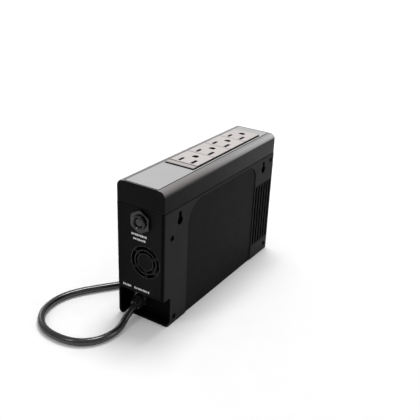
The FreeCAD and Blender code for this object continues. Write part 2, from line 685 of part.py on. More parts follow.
def tube(edges, radius):
    """A round tube along a path."""
    path = Part.Wire(edges)
    start = edges[0].valueAt(edges[0].FirstParameter)
    way = edges[0].tangentAt(edges[0].FirstParameter)
    ring = Part.Wire(Part.makeCircle(radius, start, way))
    pipe = Part.BRepOffsetAPI.MakePipeShell(path)
    pipe.add(ring)
    pipe.build()
    pipe.makeSolid()
    solid = pipe.shape()
    share = solid.Volume / (math.pi * radius ** 2 * path.Length)
    print("tube: length %.1f, volume over section times length %.4f" % (path.Length, share))
    return solid


def make_coil():
    """The put-away length of the cord, wound in two layers."""
    quarters = int(round(COIL_ANGLE / (math.pi / 2)))
    angles = [COIL_ANGLE * i / quarters for i in range(quarters + 1)]
    ways = [coil_way(a) for a in angles[:-1]] + [COIL_END_WAY]
    edges = [Part.makeLine(COIL_START, coil_point(0))]
    for i in range(quarters):
        edges += joined_arcs(coil_point(angles[i]), ways[i], coil_point(angles[i + 1]), ways[i + 1])
    edges.append(Part.makeLine(coil_point(COIL_ANGLE), COIL_END))
    points = []
    for edge in edges:
        points += edge.discretize(12)[:-1]
    gap = least_gap(points)
    print("coil: least gap to itself %.2f" % gap)
    return tube(edges, CORD_R)


def make_cord_tie():
    """The strap that holds the coil: a flat band once round all its turns."""
    (r0, r1), z0, z1 = STRAP_IN, STRAP_T + 0.02, COIL_FLOOR_Z + LAYER_RISE + CORD_R + 0.15
    half, t = STRAP_W / 2, STRAP_T
    band = rounded(block(r0 - t, r1 + t, -half, half, z0 - t, z1 + t), 2.4, Y_AXIS, everywhere)
    hole = rounded(block(r0, r1, -half - 1, half + 1, z0, z1), 1.9, Y_AXIS, everywhere)
    tail = rounded(block(r1 - 16, r1 - 2, -half, half, z1 + t, z1 + 2 * t), 3.0, Z_AXIS, everywhere)
    strap = fuse_all([band.cut(hole), tail])
    strap.rotate(V(0, 0, 0), Z_AXIS, STRAP_ANGLE)
    strap.translate(V(COIL_CENTRE[0], COIL_CENTRE[1], 0))
    return strap


def least_gap(points):
    """The least distance between the surfaces of turns that lie beside or on each other."""
    along, run = [], 0.0
    for i, point in enumerate(points):
        run += (point - points[i - 1]).Length if i else 0.0
        along.append(run)
    least = 1e9
    for i, a in enumerate(points):
        for j in range(i + 1, len(points)):
            if along[j] - along[i] > 12 * CORD_R:
                least = min(least, (a - points[j]).Length)
    return least - 2 * CORD_R


def make_cord():
    """The free stretch from the boot to the coil: straight runs joined by arcs."""
    boot_tip = GLAND + GLAND_WAY * BOOT_OUT
    points = [boot_tip, boot_tip + GLAND_WAY * FIRST_RUN] + [V(*p) for p in ROUTE]
    points += [COIL_START - coil_way(0) * LAST_RUN, COIL_START]
    edges, here, radii = [], points[0], []
    for before, corner, after in zip(points, points[1:], points[2:]):
        back, on = (before - corner), (after - corner)
        cut = 0.45 * min(back.Length, on.Length)
        half_turn = (math.pi - back.getAngle(on)) / 2
        radii.append(cut / math.tan(half_turn))
        start, end = corner + back.normalize() * cut, corner + on.normalize() * cut
        edges += [Part.makeLine(here, start), corner_arc(start, corner, end)]
        here = end
    edges.append(Part.makeLine(here, points[-1]))
    print("cord radii:", " ".join("%.0f" % r for r in radii))
    return tube(edges, CORD_R)


def plug_section(x, half_y, z0, z1, radius):
    """A rounded rectangle across the plug at one X."""
    y = COIL_END.y
    plate = block(x - 1, x, y - half_y, y + half_y, z0, z1)
    plate = rounded(plate, radius, X_AXIS, everywhere)
    face = [f for f in plate.Faces if abs(f.CenterOfMass.x - x) < 1e-6][0]
    return face.OuterWire


def make_plug_body():
    """The moulded plug with its ribbed boot."""
    x, y, z = COIL_END.x, COIL_END.y, COIL_END.z
    boot = Part.makeCone(4.1, 6.2, PLUG_BOOT, V(x, y, z), V(-1, 0, 0))
    grooves = []
    for i in range(4):
        inner = rod(4.0 + 0.3 * i, V(x - 4 - 5 * i, y, z), V(x - 6.4 - 5 * i, y, z))
        grooves.append(rod(9, V(x - 4 - 5 * i, y, z), V(x - 6.4 - 5 * i, y, z)).cut(inner))
    back = x - PLUG_BOOT
    sections = [
        plug_section(back, 7.0, 3.2, 17.0, 5.0),
        plug_section(back - 0.45 * PLUG_BODY, 11.0, 1.0, 22.5, 6.0),
        plug_section(back - PLUG_BODY, 12.2, 0.2, 24.0, 5.5),
    ]
    return fuse_all([boot.cut(grooves), Part.makeLoft(sections, True, False)])


def make_plug_blades():
    """Two flat blades and the round ground pin."""
    x, y = COIL_END.x - PLUG_BOOT - PLUG_BODY, COIL_END.y
    blade_z = PLUG_Z - 4.6
    pins = []
    for blade_y in (y - BLADE_X, y + BLADE_X):
        blade = block(x - PLUG_BLADE, x, blade_y - 0.76, blade_y + 0.76, blade_z - 3.17, blade_z + 3.17)
        blade = blade.makeChamfer(0.6, [e for e in blade.Edges if e.CenterOfMass.x < x - PLUG_BLADE + 0.01])
        pins.append(blade.cut(rod(1.5, V(x - 13, y - 9, blade_z), V(x - 13, y + 9, blade_z))))
    ground = rod(2.38, V(x, y, blade_z + GROUND_STEP), V(x - PLUG_BLADE - 3, y, blade_z + GROUND_STEP))
    tip = [e for e in ground.Edges if e.CenterOfMass.x < x - PLUG_BLADE - 2.9]
    pins.append(ground.makeFillet(1.6, tip))
    return Part.makeCompound(pins)


def make_power_button():
    """The round power button, with a flange that keeps it behind the front wall."""
    cap = along_y(POWER_BUTTON_R, POWER_BUTTON, INNER_Y - 1.6, HALF_L - 0.1)
    rim = [e for e in cap.Edges if e.CenterOfMass.y > HALF_L - 0.2]
    dish = Part.makeSphere(22.0, V(POWER_BUTTON[0], HALF_L + 21.3, POWER_BUTTON[1]))
    flange = along_y(POWER_BUTTON_R + 1.2, POWER_BUTTON, INNER_Y - 1.9, INNER_Y - 0.3)
    return fuse_all([cap.makeFillet(0.6, rim), flange]).cut(dish)


def make_led_lens():
    """The light guide of the status lamp."""
    lens = along_y(LED_R, LED, INNER_Y - 3, HALF_L + 0.0)
    return fuse_all([lens, along_y(LED_R + 0.8, LED, INNER_Y - 1.2, INNER_Y)])


def make_switch_board():
    """The small board behind the front wall."""
    board = block(-12, 12, FRONT_BOARD_Y, FRONT_BOARD_Y + BOARD_T, 74.5, 94.5)
    return board.cut([along_y(1.2, centre, FRONT_BOARD_Y - 1, FRONT_BOARD_Y + 3) for centre in PEG_PLACES])


def make_push_switch():
    """The push switch under the power button."""
    x, z = POWER_BUTTON
    y = FRONT_BOARD_Y + BOARD_T
    body = rounded(block(x - 3, x + 3, y, y + 2.2, z - 3, z + 3), 0.5, Y_AXIS, everywhere)
    return fuse_all([body, along_y(1.5, POWER_BUTTON, y + 2, y + 3.2)])


def make_status_led():
    """The lamp behind the light guide."""
    y = FRONT_BOARD_Y + BOARD_T
    return along_y(1.5, LED, y, y + 3.4)


def make_battery_cells():
    """Eight upright cells, each with its raised contact."""
    cells = []
    for x, y in CELL_PLACES:
        can = Part.makeCylinder(CELL_R, CELL_Z[1] - CELL_Z[0] - 0.8, V(x, y, CELL_Z[0]))
        cells.append(fuse_all([can, Part.makeCylinder(3.2, 0.9, V(x, y, CELL_Z[1] - 0.9))]))
    return Part.makeCompound(cells)


def make_cell_holder(z0, z1, floor_z, window_r):
    """A tray with a round seat for each cell and a window to its contact."""
    x0, x1, y0, y1 = HOLDER
    tray = rounded(block(x0, x1, y0, y1, z0, z1), 3.0, Z_AXIS, everywhere)
    seats = []
    for x, y in CELL_PLACES:
        low, high = (floor_z, z1 + 1) if floor_z < (z0 + z1) / 2 else (z0 - 1, floor_z)
        seats.append(Part.makeCylinder(CELL_R + 0.1, high - low, V(x, y, low)))
        seats.append(Part.makeCylinder(window_r, z1 - z0 + 2, V(x, y, z0 - 1)))
    return tray.cut(seats)


def make_cell_links(z, cell_z, pairs):
    """Thin metal strips that join neighbouring cells, dimpled down to each contact."""
    strips = []
    for first, count in pairs:
        cells = CELL_PLACES[first : first + count]
        (x0, y0), (x1, y1) = cells[0], cells[-1]
        strip = block(x0 - 3, x1 + 3, y0 - 3, y1 + 3, z, z + LINK_T)
        dimples = [rod(2.4, V(x, y, z + LINK_T / 2), V(x, y, cell_z)) for x, y in cells]
        strips.append(fuse_all([strip] + dimples))
    return Part.makeCompound(strips)


def make_battery_board():
    """The protection board on top of the cells."""
    board = block(-14, 14, 12, 70, 75.6, 77.2)
    chips = [block(-10, -4, 20 + 12 * i, 27 + 12 * i, 77.2, 79.4) for i in range(4)]
    feet = [block(x - 1.5, x + 1.5, y - 1.5, y + 1.5, 74.0, 75.6) for x in (-12, 12) for y in (24, 61)]
    return fuse_all([board] + chips + feet)


def make_insulating_sheet():
    """The thin sheet between the cells and the power electronics."""
    return block(INNER_X0, SPLIT_X - 0.1, 2.6, 3.1, WALL, 98)


def make_main_board():
    """The inverter board, upright beside the far wall."""
    y0, y1, z0, z1 = MAIN_BOARD
    board = block(MAIN_BOARD_X, MAIN_BOARD_X + BOARD_T, y0, y1, z0, z1)
    return board.cut([along_x(1.6, (y, z), -22, -15) for y in (y0 + 4, y1 - 4) for z in (z0 + 4, z1 - 4)])


def make_board_standoffs():
    """Four posts and their screws between the far wall and the inverter board."""
    y0, y1, z0, z1 = MAIN_BOARD
    posts = []
    for y in (y0 + 4, y1 - 4):
        for z in (z0 + 4, z1 - 4):
            post = along_x(3.0, (y, z), INNER_X0, MAIN_BOARD_X)
            shank = along_x(1.5, (y, z), MAIN_BOARD_X - 1, BOARD_FACE + 1)
            posts.append(fuse_all([post, shank, along_x(2.6, (y, z), BOARD_FACE, BOARD_FACE + 1.6)]))
    return Part.makeCompound(posts)


def make_transformer_core():
    """The transformer's ferrite core: a square ring with a middle leg."""
    y0, y1, z0, z1 = CORE
    x0, x1 = BOARD_FACE + 6, BOARD_FACE + 20
    core = block(x0, x1, y0, y1, z0, z1)
    return core.cut([block(x0 - 1, x1 + 1, y, y + 7, z0 + 5, z1 - 5) for y in (y0 + 5, y1 - 12)])


def make_transformer_winding():
    """The taped winding on the core's middle leg, with its bobbin pins on the board."""
    y0, y1, z0, z1 = CORE
    x0, x1 = BOARD_FACE + 6, BOARD_FACE + 20
    outer = rounded(block(x0 - 5, x1 + 5, y0 + 5.3, y1 - 5.3, z0 + 5.3, z1 - 5.3), 2.5, Z_AXIS, everywhere)
    hole = block(x0 - 0.05, x1 + 0.05, y0 + 12, y1 - 12, z0, z1)
    pins = []
    for y in (y0 + 8, y1 - 9):
        pins += [block(BOARD_FACE, x0 - 4, y, y + 0.8, z, z + 0.8) for z in (z0 + 8, z1 - 9)]
    return fuse_all([outer.cut(hole)] + pins)


def make_capacitors():
    """Electrolytic capacitors standing on the board, each with a crimp near its foot."""
    cans = []
    for y, z, radius, tall in CAPACITORS:
        can = along_x(radius, (y, z), BOARD_FACE, BOARD_FACE + tall)
        top = [e for e in can.Edges if e.CenterOfMass.x > BOARD_FACE + tall - 0.1]
        crimp = along_x(radius + 1, (y, z), BOARD_FACE + 3, BOARD_FACE + 4)
        crimp = crimp.cut(along_x(radius - 0.4, (y, z), BOARD_FACE + 3, BOARD_FACE + 4))
        cans.append(can.makeChamfer(0.6, top).cut(crimp))
    return Part.makeCompound(cans)


def make_relays():
    """Two sealed relays."""
    boxes = [block(BOARD_FACE, BOARD_FACE + 15, y, y + 10, 66, 85) for y in (-29, -40)]
    return Part.makeCompound([rounded(box, 0.8, X_AXIS, everywhere) for box in boxes])


def make_heat_sink():
    """A finned heat sink for the power transistors."""
    x0, x1 = BOARD_FACE + 1, BOARD_FACE + 24
    base = block(x0, x1, -50, -47.5, 64, 82)
    fins = [block(x0, x1, -56, -50, 64 + 4.2 * i, 65.2 + 4.2 * i) for i in range(5)]
    feet = [block(BOARD_FACE, BOARD_FACE + 1, -50, -47.5, z, z + 2) for z in (66, 78)]
    return fuse_all([base] + fins + feet)


def make_power_transistors():
    """Four power transistors clamped flat on the heat sink."""
    left = [BOARD_FACE + 2 + 5.4 * i for i in range(4)]
    return Part.makeCompound([block(x, x + 4.6, -47.5, -43, 66, 80) for x in left])


def make_filter_choke():
    """A wound ring-core choke at the mains input, standing on the board on its foot."""
    ring = along_x(9.2, CHOKE, BOARD_FACE + 2, BOARD_FACE + 9)
    ring = ring.cut(along_x(3.4, CHOKE, BOARD_FACE, BOARD_FACE + 10))
    ring = ring.makeChamfer(1.2, [e for e in ring.Edges if isinstance(e.Curve, Part.Circle)])
    return fuse_all([ring, block(BOARD_FACE, BOARD_FACE + 4, -12, -4, 75.2, 79.0)])


def make_wire(points, radius):
    """An inside wire: straight runs joined by arcs."""
    points = [V(*p) for p in points]
    edges, here = [], points[0]
    for before, corner, after in zip(points, points[1:], points[2:]):
        back, on = (before - corner), (after - corner)
        cut = 0.45 * min(back.Length, on.Length)
        start, end = corner + back.normalize() * cut, corner + on.normalize() * cut
        edges += [Part.makeLine(here, start), corner_arc(start, corner, end)]
        here = end
    edges.append(Part.makeLine(here, points[-1]))
    return tube(edges, radius)


GLAND_IN = RECESS_BACK + WALL + 8
WIRES = {
    "line_wire": [
        (-8, GLAND_IN, 16),
        (-8, -58, 16),
        (5, -46, 30),
        (12, -44, 62),
        (6, -40, 86),
        (-1, -42, 88.2),
        (-1, -52, 88.2),
    ],
    "neutral_wire": [
        (-10.5, GLAND_IN, 13),
        (-10.5, -62, 13),
        (-13, -54, 20),
        (-13, -54, 35.5),
        (BOARD_FACE, -54, 35.5),
    ],
    "ground_wire": [
        (-5.5, GLAND_IN, 13),
        (-5.5, -62, 13),
        (8, -34, 16),
        (17, -4, 40),
        (16, -6, 80),
        (4, -26, 98),
        (0, -31, 100),
        (0, -31, BLOCK_Z[0]),
    ],
}


def build():
    """Every piece by name."""
    pieces = {
        "main_shell": make_main_shell(),
        "base_pads": make_base_pads(),
        "side_cover": make_side_cover(),
        "cover_screws": make_cover_screws(),
        "top_cap": make_top_cap(),
        "top_inlay": make_top_inlay(),
        "outlet_housing": make_outlet_housing(),
        "outlet_end_strip": make_outlet_end_strip(),
        "outlet_back_cover": make_outlet_back_cover(),
        "line_bus_bar": make_bus_bar(-BLADE_X, 0, 1.4),
        "neutral_bus_bar": make_bus_bar(BLADE_X, 0, 1.4),
        "ground_bus_bar": make_bus_bar(0, GROUND_STEP, 3.6),
        "breaker_body": make_breaker_body(),
        "breaker_nut": make_breaker_nut(),
        "breaker_button": make_breaker_button(),
        "breaker_terminals": make_breaker_terminals(),
        "fan_frame": make_fan_frame(),
        "fan_stator": make_fan_stator(),
        "fan_rotor": make_fan_rotor(),
        "fan_screws": make_fan_screws(),
        "strain_relief": make_strain_relief(),
        "power_cord": make_cord(),
        "cord_coil": make_coil(),
        "cord_tie": make_cord_tie(),
        "plug_body": make_plug_body(),
        "plug_blades": make_plug_blades(),
        "power_button": make_power_button(),
        "led_lens": make_led_lens(),
        "switch_board": make_switch_board(),
        "push_switch": make_push_switch(),
        "status_led": make_status_led(),
        "battery_cells": make_battery_cells(),
        "cell_holder_lower": make_cell_holder(HOLDER_Z, 13.0, CELL_Z[0], 6.0),
        "cell_holder_upper": make_cell_holder(66.0, 74.0, CELL_Z[1], 6.0),
        "cell_links_top": make_cell_links(74.0, CELL_Z[1], [(0, 2), (2, 4), (6, 2)]),
        "cell_links_bottom": make_cell_links(HOLDER_Z - LINK_T, CELL_Z[0], [(0, 4), (4, 4)]),
        "battery_board": make_battery_board(),
        "insulating_sheet": make_insulating_sheet(),
        "main_board": make_main_board(),
        "board_standoffs": make_board_standoffs(),
        "transformer_core": make_transformer_core(),
        "transformer_winding": make_transformer_winding(),
        "capacitors": make_capacitors(),
        "relays": make_relays(),
        "heat_sink": make_heat_sink(),
        "power_transistors": make_power_transistors(),
        "filter_choke": make_filter_choke(),
    }
    for i in range(OUTLETS):
        pieces["outlet_face_%d" % (i + 1)] = make_outlet_face(i)
    for name, points in WIRES.items():
        pieces[name] = make_wire(points, WIRE_R)
    return pieces


for node, shape in build().items():
    shape.exportStep("parts/%s.step" % node)
    if not shape.isValid():
        print("not valid:", node)
print("ready")
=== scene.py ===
"""Looks of a slim desktop uninterruptible power supply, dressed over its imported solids.

Everything is in metres, in the frame of the solids: X is the thin way through the unit, Y its length
and Z its height. The rear end, with the breaker, the fan and the cord, faces -Y, and the front end, with
the power button, faces +Y. Colours are linear.
"""
import logging
import math
from dataclasses import dataclass
from enum import Enum
from functools import cache
from typing import Sequence

import bmesh
import bpy
import numpy as np
from mathutils import Matrix, Vector


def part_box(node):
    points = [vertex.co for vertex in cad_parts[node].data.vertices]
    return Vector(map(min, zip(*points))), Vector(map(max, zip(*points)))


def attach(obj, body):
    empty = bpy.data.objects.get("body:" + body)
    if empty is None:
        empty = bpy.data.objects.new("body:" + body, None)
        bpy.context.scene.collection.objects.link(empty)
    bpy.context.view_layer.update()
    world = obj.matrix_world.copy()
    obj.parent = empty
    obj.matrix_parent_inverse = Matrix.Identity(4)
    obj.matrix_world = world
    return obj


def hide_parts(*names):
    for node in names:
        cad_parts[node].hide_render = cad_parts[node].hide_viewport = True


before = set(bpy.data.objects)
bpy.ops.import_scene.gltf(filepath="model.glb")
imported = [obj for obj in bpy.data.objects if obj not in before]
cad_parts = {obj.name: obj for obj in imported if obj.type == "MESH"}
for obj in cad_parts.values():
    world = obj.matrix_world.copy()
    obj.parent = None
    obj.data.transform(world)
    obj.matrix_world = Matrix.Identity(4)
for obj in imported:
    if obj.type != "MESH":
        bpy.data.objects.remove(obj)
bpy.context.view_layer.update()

LOG = logging.getLogger("ups")

Colour = tuple[float, float, float]
Point = tuple[float, float, float]
Pair = tuple[float, float]
Socket = bpy.types.NodeSocket

# Points closer than this are one point when a mesh is welded
MERGE = 1e-7

# The range in which most of a noise pattern's values lie, and a wider one for slow clouds
NOISE_LOW, NOISE_HIGH = 0.3, 0.7
CLOUD_LOW, CLOUD_HIGH = 0.25, 0.75

# Numbered sockets of the colour mixing node
MIX_FACTOR, MIX_BASE, MIX_OVER, MIX_RESULT = 0, 6, 7, 2

WHITE = (1.0, 1.0, 1.0, 1.0)

# The rear wall's face, the coil's middle on the floor, and a distance past every side of the unit
REAR_Y = -0.091
COIL_CENTRE = (-0.080, 0.058)
FAR = 0.2


class Body(Enum):
    """The rigid bodies that the scene's own pieces ride on."""

    HOUSING = "root"
    FAN = "fan"
    POWER = "power_button"


class Nodes:
    """A small builder for one material's node tree."""

    def __init__(self, name: str) -> None:
        """Starts a material.

        Args:
            name: the material's name.
        """
        self.material = bpy.data.materials.new(name)
        self.material.use_nodes = True
        self.tree = self.material.node_tree
        self.tree.nodes.clear()
        self.shader = self.add("ShaderNodeBsdfPrincipled")
        output = self.add("ShaderNodeOutputMaterial")
        self.join(self.shader.outputs["BSDF"], output.inputs["Surface"])
        self.place = self.add("ShaderNodeTexCoord").outputs["Object"]

    def add(self, kind: str, **settings: object) -> bpy.types.Node:
        """Adds a node and sets its properties.

        Args:
            kind: the node's type name.
            settings: property names and values.

        Returns:
            The new node.
        """
        node = self.tree.nodes.new(kind)
        for name, value in settings.items():
            setattr(node, name, value)
        return node

    def join(self, start: Socket, end: Socket) -> None:
        """Links an output to an input."""
        self.tree.links.new(start, end)

    def noise(self, scale: float, detail: float = 2.0, stretch: Point = (1.0, 1.0, 1.0)) -> Socket:
        """Adds a noise pattern on object coordinates.

        Args:
            scale: features per metre.
            detail: number of octaves.
            stretch: factors on each axis.

        Returns:
            The noise's factor output.
        """
        mapping = self.add("ShaderNodeMapping")
        mapping.inputs["Scale"].default_value = stretch
        noise = self.add("ShaderNodeTexNoise")
        noise.inputs["Scale"].default_value = scale
        noise.inputs["Detail"].default_value = detail
        self.join(self.place, mapping.inputs["Vector"])
        self.join(mapping.outputs["Vector"], noise.inputs["Vector"])
        return noise.outputs["Fac"]

    def ramp(self, factor: Socket, stops: Sequence[tuple[float, Colour]]) -> Socket:
        """Adds a colour ramp.

        Args:
            factor: the value to look up.
            stops: positions and colours in order.

        Returns:
            The ramp's colour output.
        """
        ramp = self.add("ShaderNodeValToRGB")
        elements = ramp.color_ramp.elements
        while len(elements) < len(stops):
            elements.new(0.5)
        for element, (position, colour) in zip(elements, stops):
            element.position = position
            element.color = (*colour, 1.0)
        self.join(factor, ramp.inputs["Fac"])
        return ramp.outputs["Color"]

    def shades(self, pattern: Socket, colour: Colour, low: Pair, high: Pair) -> Socket:
        """Varies a colour with a pattern.

        Args:
            pattern: the pattern.
            colour: the colour.
            low: a value of the pattern and the colour's factor there.
            high: a higher value and the factor there.

        Returns:
            The varied colour.
        """
        return self.ramp(pattern, [(place, shade(colour, factor)) for place, factor in (low, high)])

    def spread(self, factor: Socket, low: float, high: float, start: float = 0.0,
               end: float = 1.0) -> Socket:
        """Maps a value from one range to another.

        Args:
            factor: the value.
            low: the result at the range's start.
            high: the result at the range's end.
            start: the value that gives low.
            end: the value that gives high.

        Returns:
            The mapped value.
        """
        spread = self.add("ShaderNodeMapRange")
        for socket, value in zip(("From Min", "From Max", "To Min", "To Max"), (start, end, low, high)):
            spread.inputs[socket].default_value = value
        self.join(factor, spread.inputs["Value"])
        return spread.outputs["Result"]

    def axis(self, letter: str) -> Socket:
        """The object coordinate along one axis, in metres."""
        split = self.add("ShaderNodeSeparateXYZ")
        self.join(self.place, split.inputs["Vector"])
        return split.outputs[letter]

    def step(self, value: Socket, edge: float, width: float) -> Socket:
        """0 below an edge and 1 above it, over a width; a negative width turns it round."""
        return self.spread(value, 0.0, 1.0, edge - width / 2, edge + width / 2)

    def within(self, limits: Sequence[tuple[str, float, float, float]]) -> Socket:
        """Marks the points inside a box of object coordinates.

        Args:
            limits: axis letters, their lowest and highest coordinates, and the width over which the mark
                fades there.

        Returns:
            1 inside the box and 0 outside it.
        """
        mark = None
        for letter, low, high, soft in limits:
            place = self.axis(letter)
            for side in (self.step(place, low, soft), self.step(place, high, -soft)):
                mark = side if mark is None else self.times(mark, side)
        return mark

    def times(self, first: Socket, second: Socket) -> Socket:
        """Multiplies two values.

        Args:
            first: one value.
            second: the other value.

        Returns:
            Their product.
        """
        product = self.add("ShaderNodeMath", operation="MULTIPLY")
        self.join(first, product.inputs[0])
        self.join(second, product.inputs[1])
        return product.outputs[0]

    def mix(self, factor: Socket, base: Socket, over: Colour) -> Socket:
        """Lays a colour over another.

        Args:
            factor: 0 where the base stays and 1 where it is covered.
            base: the colour below.
            over: the colour on top.

        Returns:
            The mixed colour.
        """
        mix = self.add("ShaderNodeMix", data_type="RGBA")
        self.join(factor, mix.inputs[MIX_FACTOR])
        self.join(base, mix.inputs[MIX_BASE])
        mix.inputs[MIX_OVER].default_value = (*over, 1.0)
        return mix.outputs[MIX_RESULT]

    def tint(self, base: Socket, pattern: Socket, low: float) -> Socket:
        """Darkens a colour unevenly.

        Args:
            base: the colour.
            pattern: a noise, low where the colour is darkest.
            low: the least share of the colour that stays.

        Returns:
            The darkened colour.
        """
        share = self.ramp(pattern, [(NOISE_LOW, (low, low, low)), (NOISE_HIGH, WHITE[:3])])
        tint = self.add("ShaderNodeMix", data_type="RGBA", blend_type="MULTIPLY")
        tint.inputs[MIX_FACTOR].default_value = 1.0
        self.join(base, tint.inputs[MIX_BASE])
        self.join(share, tint.inputs[MIX_OVER])
        return tint.outputs[MIX_RESULT]

    def bump(self, height: Socket, depth: float) -> None:
        """Gives the surface a bump from a height pattern.

        Args:
            height: the pattern, 0 to 1.
            depth: the height of a full step, in metres.
        """
        bump = self.add("ShaderNodeBump")
        bump.inputs["Strength"].default_value = 1.0
        bump.inputs["Distance"].default_value = depth
        self.join(height, bump.inputs["Height"])
        self.join(bump.outputs["Normal"], self.shader.inputs["Normal"])

    def gloss(self, pattern: Socket, middle: float, swing: Pair) -> None:
        """Varies the surface's roughness with a noise.

        Args:
            pattern: the noise.
            middle: the finish's roughness.
            swing: what the noise's low and high values add to it.
        """
        rough = self.spread(pattern, middle + swing[0], middle + swing[1], NOISE_LOW, NOISE_HIGH)
        self.join(rough, self.shader.inputs["Roughness"])

    def colour(self, socket: Socket) -> None:
        """Uses a colour output as the surface's colour."""
        self.join(socket, self.shader.inputs["Base Color"])


def shade(colour: Colour, factor: float) -> Colour:
    """A colour made lighter or darker by a factor."""
    return tuple(min(1.0, part * factor) for part in colour)


@dataclass(frozen=True)
class Region:
    """A box of object coordinates in which a finish takes another colour, such as painted shade on the
    inside of a wall.
    """

    limits: tuple[tuple[str, float, float, float], ...]
    colour: Colour


@dataclass(frozen=True)
class Tones:
    """Colours along one axis, as positions in metres and colours in order."""

    letter: str
    stops: tuple[tuple[float, Colour], ...]

    def paint(self, tree: Nodes) -> Socket:
        """Adds the tones to a material.

        Args:
            tree: the material's builder.

        Returns:
            Their colour.
        """
        first, last = self.stops[0][0], self.stops[-1][0]
        along = tree.spread(tree.axis(self.letter), 0.0, 1.0, first, last)
        stops = [((place - first) / (last - first), colour) for place, colour in self.stops]
        return tree.ramp(along, stops)


@dataclass(frozen=True)
class Plastic:
    """Moulded plastic: a fine grain, faint mottling and uneven gloss. A noise is its scale and octaves."""

    name: str
    colour: Colour | Tones
    roughness: float = 0.42
    roughness_swing: Pair = (-0.025, 0.035)
    sheen: Pair = (90.0, 5.0)
    grain: Pair = (2600.0, 2.0)
    grain_depth: float = 0.00003
    cloud: Pair = (38.0, 4.0)
    mottle: float = 0.06
    specular: float = 0.3
    regions: tuple[Region, ...] = ()

    def paint(self, tree: Nodes) -> Socket:
        """Adds the mottled colour, with its regions laid over it.

        Args:
            tree: the material's builder.

        Returns:
            The colour.
        """
        cloud = tree.noise(*self.cloud)
        if isinstance(self.colour, Tones):
            paint = tree.tint(self.colour.paint(tree), cloud, 1 - self.mottle)
        else:
            dark, light = (CLOUD_LOW, 1 - self.mottle), (CLOUD_HIGH, 1 + self.mottle)
            paint = tree.shades(cloud, self.colour, dark, light)
        for region in self.regions:
            paint = tree.mix(tree.within(region.limits), paint, region.colour)
        return paint

    def material(self) -> bpy.types.Material:
        """Makes the finish's material.

        Returns:
            The material.
        """
        tree = Nodes(self.name)
        tree.shader.inputs["Specular IOR Level"].default_value = self.specular
        tree.colour(self.paint(tree))
        tree.gloss(tree.noise(*self.sheen), self.roughness, self.roughness_swing)
        tree.bump(tree.noise(*self.grain), self.grain_depth)
        return tree.material


@dataclass(frozen=True)
class Metal:
    """Bare or plated metal with fine scratches along one axis."""

    name: str
    colour: Colour
    roughness: float = 0.3
    roughness_swing: Pair = (-0.08, 0.12)
    stretch: Point = (1.0, 1.0, 18.0)
    scratch: Pair = (900.0, 3.0)
    scratch_depth: float = 0.00001
    dark: Pair = (NOISE_LOW, 0.85)
    light: Pair = (NOISE_HIGH, 1.1)

    def material(self) -> bpy.types.Material:
        """Makes the finish's material.

        Returns:
            The material.
        """
        tree = Nodes(self.name)
        tree.shader.inputs["Metallic"].default_value = 1.0
        lines = tree.noise(*self.scratch, self.stretch)
        tree.colour(tree.shades(lines, self.colour, self.dark, self.light))
        tree.gloss(lines, self.roughness, self.roughness_swing)
        tree.bump(lines, self.scratch_depth)
        return tree.material


@dataclass(frozen=True)
class Jacket:
    """Smooth cable jacket with a slight sheen and low ripples."""

    name: str
    colour: Colour
    roughness: float = 0.22
    roughness_swing: Pair = (-0.03, 0.05)
    specular: float = 0.8
    ripple: Pair = (260.0, 3.0)
    grain: Pair = (1500.0, 2.0)
    grain_depth: float = 0.000006
    dark: Pair = (NOISE_LOW, 0.85)
    light: Pair = (NOISE_HIGH, 1.15)

    def material(self) -> bpy.types.Material:
        """Makes the finish's material.

        Returns:
            The material.
        """
        tree = Nodes(self.name)
        tree.shader.inputs["Specular IOR Level"].default_value = self.specular
        ripple = tree.noise(*self.ripple)
        tree.colour(tree.shades(ripple, self.colour, self.dark, self.light))
        tree.gloss(ripple, self.roughness, self.roughness_swing)
        tree.bump(tree.noise(*self.grain), self.grain_depth)
        return tree.material


def skin(name: str, grid: np.ndarray, finish: bpy.types.Material, loop_u: bool = False,
         loop_v: bool = False, uv: Pair = (1.0, 1.0)) -> bpy.types.Object:
    """Makes a mesh piece from one or more surfaces worked out on grids.

    Args:
        name: the piece's name.
        grid: points as rows (u), columns (v) and coordinates, with a leading axis for several surfaces.
        finish: its material.
        loop_u: whether the last row joins the first.
        loop_v: whether the last column joins the first.
        uv: the size of a surface in metres along u and v, for the UV map.

    Returns:
        The piece, linked to the scene, with its seams and poles merged and its faces outwards.
    """
    patches = grid.reshape(-1, *grid.shape[-3:])
    count, rows, columns = patches.shape[:3]
    u_cells, v_cells = rows - (not loop_u), columns - (not loop_v)
    u, v = (index.ravel() for index in np.meshgrid(np.arange(u_cells), np.arange(v_cells), indexing="ij"))
    u1, v1 = (u + 1) % rows, (v + 1) % columns
    cells = np.column_stack([u * columns + v, u1 * columns + v, u1 * columns + v1, u * columns + v1])
    faces = (cells[None] + (np.arange(count) * rows * columns)[:, None, None]).reshape(-1, 4)
    mesh = bpy.data.meshes.new(name)
    mesh.from_pydata(patches.reshape(-1, 3).tolist(), [], faces.tolist())
    layer = mesh.uv_layers.new(name="surface")
    along = np.column_stack([u, u + 1, u + 1, u]) / u_cells * uv[0]
    across = np.column_stack([v, v, v + 1, v + 1]) / v_cells * uv[1]
    layer.data.foreach_set("uv", np.tile(np.stack([along, across], axis=-1).ravel(), count))
    mesh.polygons.foreach_set("use_smooth", [True] * len(mesh.polygons))
    shell = bmesh.new()
    shell.from_mesh(mesh)
    bmesh.ops.remove_doubles(shell, verts=shell.verts, dist=MERGE)
    bmesh.ops.recalc_face_normals(shell, faces=shell.faces)
    shell.to_mesh(mesh)
    shell.free()
    mesh.materials.append(finish)
    piece = bpy.data.objects.new(name, mesh)
    bpy.context.scene.collection.objects.link(piece)
    return piece


def full_turn(count: int) -> np.ndarray:
    """Angles round a full circle in equal steps, without its end."""
    return np.linspace(0.0, 2 * math.pi, count, endpoint=False)


